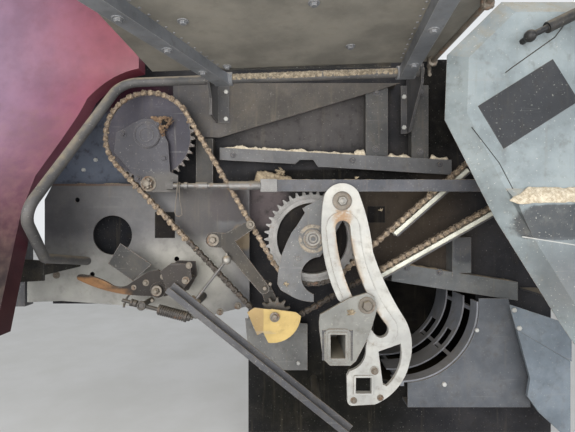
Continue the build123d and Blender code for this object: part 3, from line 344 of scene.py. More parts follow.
own_finishes = by_name(
    # Chamber wall: its dark base and near-black patches are painted shade deep in the bay, behind and right
    # of the posts and under the rail; its lighter grey and blue-grey patches are painted light where the wall
    # is lit; the brown patch is dirt
    painted("chamber_wall", (0.022, 0.022, 0.025), 0.30, 0.0, 0.7, haze=0.03, specular=0.12, patches=(
        (0.05, 0.37, 0.27, 0.12, 0.3, (0.060, 0.056, 0.056)),
        (-0.78, 0.26, 0.17, 0.17, 0.3, (0.122, 0.140, 0.180)),
        (0.45, -0.03, 0.22, 0.22, 0.5, (0.040, 0.031, 0.024)),
        (-0.09, 0.04, 0.09, 0.08, 0.3, (0.130, 0.108, 0.112)),
        (-0.61, -0.04, 0.11, 0.11, 0.3, (0.010, 0.011, 0.014)),
        (0.56, 0.42, 0.12, 0.2, 0.3, (0.003, 0.003, 0.003)),
        (0.20, 0.15, 0.32, 0.028, 0.2, (0.004, 0.004, 0.004)),
        (0.15, -0.66, 0.34, 0.22, 0.5, (0.006, 0.006, 0.005)),
        (-0.60, 0.45, 0.14, 0.05, 0.4, (0.050, 0.014, 0.026)))),
    painted("trough_casing", (0.004, 0.004, 0.004), 0.2, 0.02, 0.8, specular=0.08, haze=0.03, specks=0.0),
    painted("hinge_brackets", (0.050, 0.050, 0.054), 0.35, 0.15, 0.48, worn=0.8),
    bare_metal("idler_sprocket", (0.085, 0.074, 0.062), 0.50, 0.55, 0.50, 0.4),
    bare_metal("tension_rod", (0.15, 0.145, 0.14), 0.40, 0.25, 0.48, 0.5),
    # The grate's light colour is partly painted light, lifting the shade of the recess it sits in
    painted("curved_grate", (0.19, 0.20, 0.225), 0.25, 0.15, 0.40, haze=0.06, worn=0.6, rim=0.004),
    painted("upper_sprocket", (0.025, 0.023, 0.035), 0.30, 0.2, 0.48, haze=0.05, specks=0.1, mottle=0.5,
            bare=(upper_centre[0] * 0.001, upper_centre[1] * 0.001, upper_root)),
    painted("bearing_carrier", (0.044, 0.043, 0.052), 0.30, 0.12, 0.48, haze=0.05, patches=(
        (-0.42, 0.10, 0.07, 0.05, 0.3, (0.075, 0.070, 0.066)),)),
    painted("cam_plate", (0.100, 0.102, 0.106), 0.45, 0.40, 0.42, specks=0.6, worn=0.5, stains=(
        (0.087, -0.078, 0.043, 0.008, -1, 1, (0.27, 0.225, 0.165)),
        (0.087, -0.078, 0.029, 0.006, -1, 1, (0.20, 0.17, 0.13)))),
    painted("box_lever", (0.186, 0.186, 0.172), 0.45, 0.30, 0.45, worn=0.5, rim=0.004),
    painted("tie_bar", (0.059, 0.062, 0.074), 0.45, 0.20, 0.42, worn=0.5),
    bare_metal("tie_rod", (0.18, 0.176, 0.172), 0.40, 0.50, 0.45, 0.5),
    painted("tension_arm", (0.025, 0.021, 0.017), 0.45, 0.35, 0.50, worn=0.8, rim=0.0045),
    painted("lever_bracket", (0.024, 0.019, 0.017), 0.25, 0.30, 0.55, haze=0.03),
    painted("label_plate", (0.027, 0.027, 0.027), 0.50, 0.35, 0.50, worn=0.7, rim=0.005),
    painted("idler_plate", (0.138, 0.138, 0.135), 0.50, 0.30, 0.45, specks=0.5),
    painted("front_plate", (0.092, 0.090, 0.094), 0.40, 0.10, 0.44, haze=0.06, specks=0.1, mottle=0.4,
            patches=(
                # The two pale patches low on the plate: partly dust, partly painted light where the cowl
                # shades the plate
                (-0.80, -0.26, 0.34, 0.11, 0.9, (0.330, 0.325, 0.300)),
                (-0.36, -0.22, 0.14, 0.12, 0.6, (0.310, 0.298, 0.265)),
                (-0.33, 0.02, 0.075, 0.10, 0.25, (0.040, 0.036, 0.037)),
                (-0.215, 0.042, 0.070, 0.062, 0.12, (0.034, 0.027, 0.029)),
                (-0.168, -0.080, 0.030, 0.045, 0.2, (0.190, 0.140, 0.085)),
                (-0.60, 0.116, 0.30, 0.006, 0.3, (0.085, 0.055, 0.040)))),
    painted("wall_column", (0.027, 0.026, 0.026), 0.50, 0.15, 0.50, specks=0.1, worn=0.8, rim=0.004),
    painted("frame_posts", (0.048, 0.048, 0.049), 0.50, 0.15, 0.50, worn=0.8),
    painted("upper_sheet", (0.050, 0.044, 0.039), 0.50, 0.12, 0.50, specks=0.15, patches=(
        (-0.36, 0.38, 0.13, 0.2, 0.4, (0.050, 0.047, 0.049)),)),
    painted("upper_rail", (0.096, 0.096, 0.101), 0.50, 0.15, 0.48, worn=0.4),
    painted("hoop_tube", (0.072, 0.070, 0.071), 0.45, 0.10, 0.45, specks=0.3),
    # The shield's light, warm tone is partly painted bounce light from the ground below
    painted("shield_panel", (0.175, 0.165, 0.145), 0.30, 0.08, 0.48, haze=0.06, specks=0.1, mottle=0.4),
    painted("shield_ribs", (0.130, 0.137, 0.150), 0.40, 0.15, 0.48, haze=0.06, specks=0.1, worn=0.9),
    painted("rear_cover", (0.205, 0.238, 0.248), 0.45, 0.25, 0.42, haze=0.08, specks=0.7, patches=(
        # Dark band under the ledge: painted shade
        (0.832, -0.018, 0.160, 0.052, 0.06, (0.056, 0.062, 0.068)),
        # Darker patch on the face below the ledge: painted shade
        (0.84, -0.20, 0.10, 0.10, 0.8, (0.120, 0.130, 0.136)))),
    painted("rear_beam", (0.080, 0.084, 0.087), 0.50, 0.20, 0.45, patches=(
        (0.656, -0.125, 0.045, 0.048, 0.15, (0.038, 0.040, 0.046)),)),
    painted("rear_side_plate", (0.086, 0.093, 0.106), 0.35, 0.15, 0.42, worn=0.5),
    painted("bar_supports", (0.020, 0.020, 0.020), 0.10, 0.15, 0.6),
    painted("rear_bracket", (0.148, 0.176, 0.205), 0.35, 0.20, 0.42, worn=0.6))
own_finishes["tension_spring"] = spring_steel

for part in frame["record"]["subparts"]:
    looks = frame["nodes"][part["node"]].data.materials
    looks.clear()
    looks.append(own_finishes.get(part["node"], finishes[part["material_slot"]]))

# Detail pieces, in millimetres. Depths of the CAD faces that they sit on:
wall_face = -6
post_face = -49.5
plate_face = -71
carrier_face = -150
cover_face = -365
washer_height = 2.4
y_axis = Vector((0, 1, 0))


def circle(sides, turn=0.0):
    """Angles evenly round a circle."""
    return [turn + 2 * pi * i / sides for i in range(sides)]


class Piece:
    """A mesh that shapes are added to; done() makes it an object that rides on a body."""

    def __init__(self, name, slot, body="side_frame", finish=None):
        self.name = name
        self.slot = slot
        self.body = body
        self.finish = finish or finishes[slot]
        self.shape = bmesh.new()

    def skin(self, seat, sections, capped=True):
        """A skin over sections of points, closed at both ends where it is capped."""
        rows = [[self.shape.verts.new(seat @ Vector(point)) for point in section] for section in sections]
        count = len(rows[0])
        for low, high in zip(rows, rows[1:]):
            for i in range(count):
                j = (i + 1) % count
                self.shape.faces.new((low[i], low[j], high[j], high[i]))
        if capped:
            self.shape.faces.new(rows[0][::-1])
            self.shape.faces.new(rows[-1])

    def turned(self, seat, profile, sides=24, turn=0.0, capped=True):
        """A turned shape from (radius, height) steps along the seat's axis."""
        angles = circle(sides, turn)
        sections = [[(r * cos(a), r * sin(a), h) for a in angles] for r, h in profile]
        self.skin(seat, sections, capped)

    def band(self, seat, inner, outer, high):
        """A flat ring with bevelled edges, open at its back."""
        bevel, seated = 0.6, -0.3
        profile = (outer, seated), (outer - bevel, high), (inner + bevel, high), (inner, seated)
        self.turned(seat, profile, 60, capped=False)

    def slab(self, seat, outline, low, high, chamfer=0.6):
        """A plate with a chamfered front edge; the outline runs anticlockwise in the seat's plane."""
        count = len(outline)
        inner = []
        for i, (x, y) in enumerate(outline):
            (x0, y0), (x1, y1) = outline[i - 1], outline[(i + 1) % count]
            before = Vector((x - x0, y - y0)).normalized()
            after = Vector((x1 - x, y1 - y)).normalized()
            inward = Vector((-before.y - after.y, before.x + after.x))
            inward = inward.normalized() if inward.length > 1e-6 else Vector((-before.y, before.x))
            inner.append((x + inward.x * chamfer, y + inward.y * chamfer))
        self.skin(seat, [[(x, y, low) for x, y in outline], [(x, y, high - chamfer) for x, y in outline],
                         [(x, y, high) for x, y in inner]])

    def tube(self, points, radius, sides=8):
        """A round wire or bar along points."""
        path = [Vector(point) for point in points]
        sections = []
        side = None
        for i, point in enumerate(path):
            tangent = (path[min(i + 1, len(path) - 1)] - path[max(i - 1, 0)]).normalized()
            if side is None:
                side = tangent.orthogonal().normalized()
            side = (side - tangent * side.dot(tangent)).normalized()
            other = tangent.cross(side)
            sections.append([point + radius * (side * cos(a) + other * sin(a))
                             for a in circle(sides)])
        self.skin(Matrix(), sections)

    def bead(self, start, end, radius):
        """A weld bead: overlapping flattened lumps along a line."""
        start, end = Vector(start), Vector(end)
        count = max(1, int((end - start).length / (radius * 0.9)))
        for i in range(count + 1):
            size = radius * rng.uniform(0.8, 1.15)
            seat = along(start.lerp(end, i / count), (rng.uniform(-0.3, 0.3), -1, rng.uniform(-0.3, 0.3)))
            self.turned(seat, [(size, -0.5), (size * 0.9, size * 0.35), (size * 0.45, size * 0.62)], 8)

    def bolt(self, seat, radius, height, washer=0.0, turn=None):
        """A hexagon bolt head, with a washer where its radius is given."""
        turn = rng.uniform(0, 1.05) if turn is None else turn
        lift = 0.0
        if washer:
            lift = washer_height
            self.turned(seat, [(washer, -0.4), (washer, lift - 0.5), (washer - 0.5, lift)], 28)
        head = seat @ Matrix.Translation((0, 0, lift))
        self.turned(head, [(radius, -0.3), (radius, height * 0.78), (radius * 0.86, height)], 6, turn)
        self.turned(head, [(radius * 0.80, height * 0.9), (radius * 0.74, height * 1.04)], 18)

    def bolts(self, rows):
        """Bolts on faces towards the open side: x, face depth, z, radius, height, washer radius."""
        for x, y, z, radius, height, washer in rows:
            self.bolt(out(x, y, z), radius, height, washer)

    def nut(self, seat, radius, height, stud, reach, washer):
        """A nut with a washer on the end of a threaded stud."""
        thread_pitch = 1.6
        self.bolt(seat, radius, height, washer)
        base = seat @ Matrix.Translation((0, 0, height + washer_height))
        profile = []
        for i in range(int(reach / thread_pitch)):
            foot = i * thread_pitch
            profile += [(stud, foot), (stud * 0.88, foot + thread_pitch / 2)]
        self.turned(base, profile + [(stud * 0.8, reach)], 14)

    def rivet(self, seat, radius, height):
        self.turned(seat, [(radius, -0.3), (radius * 0.93, height * 0.5), (radius * 0.55, height * 0.92),
                           (radius * 0.2, height)], 12)

    def lump(self, seat, radius, height, seed, sides=9):
        """A ragged low lump of caked dust."""
        sections = []
        for share, lift in ((1.0, -0.15), (0.92, 0.45), (0.62, 0.9), (0.22, 1.0)):
            section = []
            for angle in circle(sides):
                place = Vector((cos(angle) * 1.3, sin(angle) * 1.3, seed + lift))
                reach = radius * share * (1 + 0.45 * noise.noise(place))
                uneven = 1 + 0.35 * noise.noise(Vector((angle, seed, 0.7)))
                section.append((reach * cos(angle), reach * sin(angle), height * lift * uneven))
            sections.append(section)
        self.skin(seat, sections)

    def crust(self, start, end, width, height, seed, up=(0, 0, 1), bare=0.0, wave=34.0):
        """Caked dust along a line: a low uneven mound, thin at its ends and broken where bare is high."""
        start, end, up = Vector(start), Vector(end), Vector(up)
        run = end - start
        side = run.cross(up).normalized()
        steps = max(8, int(run.length / 4))
        sections = []
        for i in range(steps + 1):
            share = i / steps
            fade = min(1.0, share * 9, (1 - share) * 9)
            grow = noise.noise(Vector((share * run.length / wave, seed, 0.3))) + 0.55 - bare
            thick = height * max(0.04, fade * grow)
            wide = width * (0.55 + 0.45 * min(1.0, max(0.0, grow))) * max(0.15, fade)
            section = []
            for k in range(11):
                across = cos(pi * k / 10)
                arch = sin(pi * k / 10) ** 0.7
                ragged = noise.noise(Vector((share * run.length / 7, across * 2.2, seed)))
                rough = 1 + min(0.55, 5 / height) * ragged
                rise = up * (arch * thick * rough - 0.4)
                section.append(start + run * share + side * (across * wide / 2) + rise)
            sections.append(section)
        self.skin(Matrix(), sections)

    def sleeve(self, start, end, radius, thick, seed):
        """Dust caked over a tube, round all but its underside."""
        low, high = -0.25, 1.25  # half turns
        start, end = Vector(start), Vector(end)
        run = end - start
        side = -y_axis
        up = run.cross(side).normalized()
        if up.z < 0:
            up = -up
        steps = max(8, int(run.length / 2.5))
        sections = []
        for i in range(steps + 1):
            share = i / steps
            fade = min(1.0, share * 14, (1 - share) * 14)
            section = []
            for k in range(15):
                angle = pi * (low + (high - low) * k / 14)
                spot = Vector((share * run.length / 9, k * 0.5, seed))
                rough = 0.50 + 0.55 * noise.noise(spot) + 0.5 * noise.noise(spot * 2.7)
                edge = min(1.0, k * 0.5, (14 - k) * 0.5)
                lift = radius - 0.5 + thick * max(0.0, rough) * fade * edge
                spoke = side * (cos(angle) * lift) + up * (sin(angle) * lift)
                section.append(start + run * share + spoke)
            sections.append(section)
        self.skin(Matrix(), sections, False)

    def done(self, smooth=40.0):
        mesh = bpy.data.meshes.new(self.name)
        bmesh.ops.recalc_face_normals(self.shape, faces=self.shape.faces)
        for edge in self.shape.edges:
            edge.smooth = len(edge.link_faces) == 2 and edge.calc_face_angle(0) < radians(smooth)
        for face in self.shape.faces:
            face.smooth = True
        bmesh.ops.scale(self.shape, vec=(0.001, 0.001, 0.001), verts=self.shape.verts)
        self.shape.to_mesh(mesh)
        self.shape.free()
        mesh.materials.append(self.finish)
        thing = placed(self.name, mesh)
        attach(thing, self.body)
        return thing


def out(x, y, z, turn=0.0):
    """A seat on a face towards the open side: its X to the right, its Y up, its Z out of the bay."""
    facing = Matrix(((1, 0, 0, x), (0, 0, -1, y), (0, 1, 0, z), (0, 0, 0, 1)))
    return facing @ Matrix.Rotation(turn, 4, "Z")


def along(place, direction):
    """A seat at a place, with its Z along the direction."""
    return Matrix.Translation(place) @ Vector(direction).to_track_quat("Z", "Y").to_matrix().to_4x4()


def arc(centre, radius, start, end, steps):
    """Points on an arc in degrees, in a plane."""
    angles = [radians(start + (end - start) * i / steps) for i in range(steps + 1)]
    return [(centre[0] + radius * cos(a), centre[1] + radius * sin(a)) for a in angles]


# Roller chain, on the same route as the CAD loop
pitch = 25.4
chain_y = -120.0
rear_z = 252.0
rear_centre_x = 881.344


def pitch_radius(teeth):
    return pitch / (2 * sin(pi / teeth))


# x, z, radius and sense of each wheel; the sense is 1 where the wheel lies inside the loop
wheels = [
    (rear_centre_x, rear_z, pitch_radius(28), 1),
    (*drive_centre, pitch_radius(40), -1),
    (*upper_centre, pitch_radius(38), 1),
    (*idler_centre, pitch_radius(12), 1),
]


def tangent(first, second):
    """Where the straight strand from one wheel to the next leaves and lands."""
    x1, z1, r1, s1 = first
    x2, z2, r2, s2 = second
    span = hypot(x2 - x1, z2 - z1)
    heading = atan2(z2 - z1, x2 - x1) - asin((s2 * r2 - s1 * r1) / span)
    nx, nz = -sin(heading), cos(heading)
    return (x1 - s1 * r1 * nx, z1 - s1 * r1 * nz), (x2 - s2 * r2 * nx, z2 - s2 * r2 * nz)


def chain_pins():
    """Where each pin of the loop lies, one pitch apart along the route."""
    strands = [tangent(wheels[i], wheels[(i + 1) % 4]) for i in range(4)]
    spans = []
    for i in range(4):
        start, end = strands[i]
        leave = strands[(i + 1) % 4][0]
        x, z, radius, sense = wheels[(i + 1) % 4]
        first = atan2(end[1] - z, end[0] - x)
        sweep = ((atan2(leave[1] - z, leave[0] - x) - first) * sense) % (2 * pi)
        spans.append((dist(start, end), radius * sweep, start, end, x, z, radius, sense, first))
    whole = sum(line + wrap for line, wrap, *_ in spans)
    count = round(whole / pitch)
    pins = []
    for i in range(count):
        rest = whole * i / count
        for line, wrap, start, end, x, z, radius, sense, first in spans:
            if rest < line:
                share = rest / line
                pins.append(tuple(a + (b - a) * share for a, b in zip(start, end)))
                break
            rest -= line
            if rest < wrap:
                angle = first + sense * rest / radius
                pins.append((x + radius * cos(angle), z + radius * sin(angle)))
                break
            rest -= wrap
    return pins


def link_outline(length, high):
    """A link plate's figure of eight, anticlockwise from its right end."""
    waist = high * 0.46
    right = arc((length, 0), high, -52, 52, 6)
    left = arc((0, 0), high, 128, 232, 6)
    return right + [(length / 2, waist)] + left + [(length / 2, -waist)]


def oily(x, z):
    """True on the stretch by the idler, where the chain is dark and carries little dust."""
    return z < -85 and (x < -90 or z < -215)


# The inner links and rollers are a darker copy of the chain's steel: painted shade in the gaps between the
# outer plates
inner_chain_finish = bare_metal("inner_links", (0.12, 0.09, 0.065), 0.45, 0.5, 0.55, 0.4)
oily_chain_finish = bare_metal("oily_links", (0.040, 0.031, 0.024), 0.40, 0.25, 0.42, 0.4)
chain = Piece("roller_chain", "dusty_chain")
inner_chain = Piece("inner_links", "dusty_chain", finish=inner_chain_finish)
oily_chain = Piece("oily_links", "dusty_chain", finish=oily_chain_finish)
pins = chain_pins()
for i, (x, z) in enumerate(pins):
    x2, z2 = pins[(i + 1) % len(pins)]
    turn = atan2(z2 - z, x2 - x)
    length = hypot(x2 - x, z2 - z)
    if i % 2 == 0:
        links, high, low_face, top_face = chain, 12.2, 9.7, 13.0
    else:
        links, high, low_face, top_face = inner_chain, 11.6, 6.4, 9.3
    if oily(x, z):
        links = oily_chain
    outline = link_outline(length, high)
    mirrored = [(px, -py) for px, py in outline[::-1]]
    seat = out(x, chain_y, z, turn)
    links.slab(seat, outline, low_face, top_face, 1.1)
    links.slab(seat @ Matrix.Rotation(pi, 4, "X"), mirrored, low_face, top_face, 1.1)
    pin = out(x, chain_y, z)
    links.turned(pin, [(3.4, -15.2), (4.4, -14.4), (4.4, 14.4), (3.4, 15.2)], 12)
    inner_chain.turned(pin, [(7.9, -6.2), (7.9, 6.2)], 14)
roller_chain = chain.done()
inner_chain.done()
oily_chain.done()
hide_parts("chain")

# Caked dust: a lump on each pin and smaller ones between, few and thin where the chain is oily
clumps = Piece("chain_dust", "dusty_chain", finish=chain_crust)
for i, (x, z) in enumerate(pins):
    if oily(x, z) and rng.random() < 0.8:
        continue
    thin = 0.35 if oily(x, z) else 1.0
    size = rng.uniform(7.2, 10.8) * (0.55 + 0.45 * thin)
    rng.uniform(0, 1)  # keeps the order of the draws
    place = (x + rng.uniform(-1, 1), chain_y - 12.4, z + rng.uniform(-1, 1))
    clumps.lump(along(place, (rng.uniform(-0.2, 0.2), -1, 0.15)), size, 3.6 * thin, i * 0.37)
    if rng.random() < 0.7 * thin:
        size = rng.uniform(3.0, 5.5)
        place = (x + rng.uniform(-10, 10), chain_y - 9.0, z + rng.uniform(-8, 8))
        clumps.lump(along(place, (0, -1, 0.2)), size, 4.4, i * 0.91 + 7)
clumps.done(60)

# Fasteners
bright_bolts = Piece("bright_bolt_heads", "bright_steel", finish=white_steel)
bright_bolts.bolts((
    (-227.2, -62, 458, 8.5, 6, 0), (-227.2, -62, 358.4, 8.5, 6, 0), (430.5, -62, 439.7, 8.5, 6, 0),
    (430.5, -62, 327, 8.5, 6, 0), (691.7, -76, -417, 8, 7, 0), (572.8, -76, -615, 9, 7, 0),
    (800.7, -126, -332, 9, 6, 0), (818.4, -126, -396, 9, 6, 0), (-780.4, wall_face, 176.4, 8, 8, 0),
    (-734.4, wall_face, 214.8, 8, 8, 0), (-120, -56, -410, 8, 6, 0), (40, -56, -545, 8, 6, 0)))
bright_bolts.done()

dark_bolts = Piece("frame_bolt_heads", "grey_paint")
dark_bolts.bolts((
    (-661.5, wall_face, 268.4, 10, 8, 16), (560, -66, -208, 8, 6, 13), (440, -66, -190, 8, 6, 13),
    (-200, -66, 225, 7, 5, 12), (240, -66, 205, 7, 5, 12), (560, -66, 190, 7, 5, 12),
    (330, post_face, 250, 8, 6, 13), (494, post_face, 240, 8, 6, 13),
    (332, post_face, 460, 8, 6, 13), (496, post_face, 460, 8, 6, 13)))
dark_bolts.done()

rusty_bolts = Piece("rusty_bolt_heads", "rusty_steel")
rusty_bolts.bolts((
    (-78.2, -162, -249.4, 8, 7, 0), (-59.6, -162, -234, 7, 6, 0), (-256.7, -162, -82.7, 12, 10, 21),
    (-127.5, -162, -30, 9, 8, 15), (-44, -176, -345, 11, 8, 17), (-329, -204, -165, 7, 5, 11),
    (-340, -204, -215, 8, 6, 13), (-462, -170, -289, 7, 6, 0), (-859, plate_face, -165, 8, 6, 13),
    (-848, plate_face, -217, 8, 6, 13), (-247.9, plate_face, -352, 8, 6, 13),
    (-181.8, plate_face, -330, 8, 6, 13)))
rusty_bolts.nut(out(-437, -204, -250), 11, 9, 7, 8, 18)
rusty_bolts.done()

box_bolt = Piece("box_lever_bolt", "rusty_steel")
box_bolt.bolt(out(257, -248, -289), 18, 12, 27, 0.3)
box_bolt.done()

lever_bolts = Piece("hand_lever_bolts", "rusty_steel", "latch_lever")
lever_bolts.bolts(((-479, -186, -226, 7, 6, 11), (-420, -186, -205, 7, 6, 11), (-520, -186, -242, 5, 6, 9)))
lever_bolts.done()

arm_bolts = Piece("arm_boss_bolt", "rusty_steel", "arm")
arm_bolts.bolts(((288, -218, -512, 8, 6, 12.5), (220, -212, -612, 6.5, 6, 11), (308, -212, -603, 6.5, 6, 11)))
arm_bolts.done()

pivot_x, pivot_z = 181, 50
pivot_bolt = Piece("arm_pivot_bolt", "rusty_steel", "cam")
pivot_bolt.turned(out(pivot_x, -216.2, pivot_z), [(31, -0.3), (31, 1.6), (30, 2.2), (22, 2.4)], 40)
pivot_bolt.done()
pivot_nut = Piece("arm_pivot_nut", "bright_steel", "cam")
pivot_nut.bolt(out(pivot_x, -218, pivot_z), 17, 12, 0, 0.2)
pivot_nut.turned(out(pivot_x, -229, pivot_z), [(9, 0), (9, 3), (7.5, 4)], 20)
pivot_nut.done()

# Castellated nut and bearing rings on the upper shaft's carrier
nut_x, nut_z = -483, 112
lug_nut = Piece("castellated_nut", "rusty_steel")
lug_nut.turned(out(nut_x, carrier_face, nut_z), [(27, -0.4), (27, 2.6), (26, 3)], 32)
lug_nut.turned(out(nut_x, -153, nut_z), [(21, 0), (21, 13), (19.5, 15)], 6, 0.4)
for angle in circle(6, 0.4 + pi / 6):
    seat = out(nut_x + 14 * cos(angle), -168, nut_z + 14 * sin(angle), angle)
    lug_nut.slab(seat, [(-4.5, -4), (4.5, -4), (4.5, 4), (-4.5, 4)], -0.5, 8)
lug_nut.turned(out(nut_x, -176, nut_z), [(12, -1), (12, 1.5), (10, 3)], 20)
lug_nut.done()

carrier_rings = Piece("carrier_rings", "dark_paint", finish=own_finishes["bearing_carrier"])
for inner, outer, high in ((38, 44, 2.2), (22, 26, 1.8)):
    carrier_rings.band(out(upper_centre[0], -156, upper_centre[1]), inner, outer, high)
carrier_rings.bolts([(x, carrier_face, z, 8, 6, 13)
                     for x, z in ((-571, 285), (-450, 318), (-428, 200), (-520, 130))])
carrier_rings.done()

drive_x, drive_z = drive_centre
cam_rings = Piece("cam_rings", "grey_paint", "cam", own_finishes["cam_plate"])
for inner, outer, high, y in ((27, 33, 1.6, -178), (14, 18, 1.5, -174), (46, 50, 1.4, -170)):
    cam_rings.band(out(drive_x, y, drive_z), inner, outer, high)
cam_rings.bolts(((drive_x, -174, drive_z, 9, 6, 0), (36, -170, -145.6, 8, 5, 13)))
cam_rings.done()

# The drum's recess: black grease and dirt, with painted shade deep in the recess
drum = Piece("drum_recess_dirt_and_shade", "worn_steel", "drive_wheel", shade_and_dirt_black)
sections = []
for radius, high in ((123.5, -0.2), (122, 3.2), (112, 1.6), (90, 1.1), (62, 1.3), (50, 2.8), (46.6, -0.2)):
    flat = [Vector((radius * cos(a), radius * sin(a), 0)) for a in circle(72)]
    sections.append([(point.x, point.y, high + 0.6 * noise.noise(point / 9)) for point in flat])
drum.skin(out(drive_x, -127.5, drive_z), sections, False)
drum.done(80)

# Weld beads
welds = Piece("weld_beads", "grey_paint")
welds.bead((115, -244, -372), (209, -244, -372), 3.2)
welds.bead((209, -244, -372), (209, -244, -466), 3.2)
welds.bead((115, -244, -372), (115, -244, -466), 3.2)
welds.bead((-386, -178, 92), (-386, -178, 116), 2.6)
welds.bead((608, -66, -212), (608, -66, -222), 2.6)
welds.done(70)

# Wire clip that hangs from the tie rod
clip = Piece("tie_wire_clip", "rusty_steel")
clip.tube([(-368 + dx, -190 + dy, z) for dx, dy, z in (
    (3, 8, 112), (0, -4, 113), (-1, -9, 103), (-4, -5, 80), (-9, -2, 45), (-12, 0, 12), (-8, 0, 1),
    (2, 0, -2), (12, 0, 4), (11, -1, 22), (6, -3, 50), (4, -6, 80), (5, -9, 101), (5, -3, 113),
    (6, 8, 112))], 1.7)
clip.done(60)

# Tension spring: coil, threaded rod, nuts, end plate and the hooks at its ends
spring_end = Vector((-568, -165, -289))
heading = (Vector((-326, -165, -352)) - spring_end).normalized()
sideways = heading.cross(y_axis).normalized()


def coil(first, length, radius, turns, steps):
    """Points along a coil round the spring's line, from a distance along it."""
    points = []
    for i in range(turns * steps + 1):
        angle = 2 * pi * i / steps
        spoke = radius * (sideways * cos(angle) + y_axis * sin(angle))
        points.append(spring_end + heading * (first + length * i / (turns * steps)) + spoke)
    return points


def on_spring(distance):
    return along(spring_end + heading * distance, heading)


spring = Piece("spring_coil", "rusty_steel", finish=spring_steel)
spring.tube(coil(129, 98, 16.2, 13, 16), 2.6)
spring.tube(coil(52, 70, 6.0, 34, 10), 0.8, 5)
spring.turned(on_spring(30), [(13, 0), (13, 7), (11.5, 8.5)], 6)
spring.turned(on_spring(228), [(19, -1), (19, 2), (18, 2.5)], 24)
spring.turned(on_spring(231), [(13, 0), (13, 9), (11.5, 11)], 6)
for turn in (0.5, 0.5 + pi):
    lift = sideways * cos(turn) + y_axis * sin(turn)
    middle = spring_end + heading * 12
    spring.tube([middle, middle + lift * 12, middle + lift * 22 + heading * 3], 4)
eye = [pi * i / 10 for i in range(21)]
spring.tube([(-500 + 13 * cos(a), -173, -307 + 13 * sin(a)) for a in eye], 3.6)
spring.done(50)

# Ball joint of the tensioner's rod, with its clamp
joint = Piece("ball_joint", "bright_steel")
joint.turned(out(-208, -162.2, -150), [
    (10, -0.5), (12, 3), (15.2, 8), (16.4, 14.5), (15.2, 21), (11, 26.6), (4, 29.4)], 28)
joint.turned(along((-208, -176.3, -134), (0, 0, 1)), [(5, -3), (5, 5), (3.5, 8)], 12)
joint.done(50)

clamp = Piece("rod_clamp", "rusty_steel")
clamp.slab(out(-312, -214, -286, -0.65), [(-17, -12), (17, -12), (17, 12), (-17, 12)], -24, -2, 1.5)
clamp.bolt(along((-320, -202, -276), (-0.5, -0.2, 0.85)), 8, 6)
clamp.done()

# Top shield: rivets and bolts on its inner face, the seal over the tube, the latch rod's hook and collars
tube_slope = radians(2.1)
tube_height = 466
tube_y = -200
sheet_low = 478.0
rib_low = 444
hinge = Matrix.Translation((0, 0, tube_height))
lean = hinge @ Matrix.Rotation(-tube_slope, 4, "Y") @ hinge.inverted()


def under(x, y, z):
    """A seat on the shield's lower face, looking down."""
    return lean @ along((x, y, z), (0, 0, -1))


def left_rib(y):
    """The middle of the shield's left rib, which leans in towards the far edge."""
    return -214 - 186 * (y - tube_y) / -560


def right_rib(y):
    return 396 - 106 * (y - tube_y) / -980


shield_detail = Piece("shield_rivets", "grey_paint", "top_shield", own_finishes["shield_ribs"])
rivet_rows = []
for side in (-1, 1):
    for rib, run, count in ((left_rib, 440, 15), (right_rib, 850, 27)):
        for y in (-300 - run * i / (count - 1) for i in range(count)):
            rivet_rows.append((rib(y) + side * 31, y))
rivet_rows += [(-415 + i * 40.5, -1205) for i in range(22)]
for x, y in rivet_rows:
    shield_detail.rivet(under(x, y, sheet_low), 4.0, 2.2)
for x, y in ((-251, -579), (-190, -282), (-120, -900), (60, -640), (60, -1000), (180, -400)):
    shield_detail.bolt(under(x, y, sheet_low), 9, 6, 14)
for rib, spacing, count in ((left_rib, 170, 3), (right_rib, 230, 4)):
    for i in range(count):
        y = -330 - i * spacing
        shield_detail.bolt(under(rib(y), y, rib_low), 9, 6, 14)
shield_detail.done()

seal = Piece("shield_seal", "black_rubber", "top_shield")
seal_seat = lean @ Matrix.Translation((0, -262, sheet_low)) @ Matrix.Rotation(radians(90), 4, "X")
seal.slab(seal_seat, [(-205, -2), (-205, -6), (330, -16), (330, -2)], 0, 5, 0.8)
seal.done()

latch = Piece("latch_rod_ends", "rusty_steel", "top_shield")
rod_x = 450
rod_z = sheet_low - 15
hook = [(rod_x, -266, rod_z), (452, -258, rod_z + 1), (458, -250, rod_z - 3), (460, -242, rod_z - 12),
        (460, -243, rod_z - 21), (459, -250, rod_z - 24)]
latch.tube([lean @ Vector(point) for point in hook], 5.4, 12)
for y in (-300, -640):
    latch.turned(lean @ along((rod_x, y, rod_z), (0, -1, 0)), [(14, -5), (15, -4), (15, 4), (14, 5)], 20)
latch.done(50)

# Dust: caked over the tube and lying on ledges
tube_dust = Piece("tube_dust", "grey_paint", finish=tube_crust)
rise = tan(tube_slope)
for x0, x1, seed, thick in ((-236, -60, 1.7, 2.8), (-66, 120, 4.2, 3.4),
                            (112, 300, 7.9, 3.2), (292, 405, 9.1, 2.4)):
    ends = [(x, tube_y, tube_height + x * rise) for x in (x0, x1)]
    tube_dust.sleeve(*ends, 15, thick, seed)
tube_dust.done(70)


def rail_top(x):
    """The height of the ledge rail's top at a place."""
    left, left_top, right, right_top = -250, 252, 605, 207
    return left_top + (x - left) * (right_top - left_top) / (right - left)


ledge_dust = Piece("ledge_dust", "grey_paint", finish=pale_crust)
for x0, x1, width, height, seed, bare in ((-248, 296, 12, 9, 1.1, -0.5), (370, 462, 30, 16, 5.2, 0.0),
                                          (528, 600, 30, 26, 6.6, -0.3), (245, 291, 26, 22, 2.4, -0.2)):
    ledge_dust.crust((x0, -52, rail_top(x0)), (x1, -52, rail_top(x1)), width, height, seed, bare=bare)
shelf_up = (0, -0.84, 0.55)
ledge_dust.crust((640, -388.5, 45), (800, -382, 57), 34, 6, 6.1, shelf_up, -0.45)
ledge_dust.crust((672, -379.5, 61), (949, -379.5, 61), 54, 9, 3.3, shelf_up, -0.45)
ledge_dust.done(70)

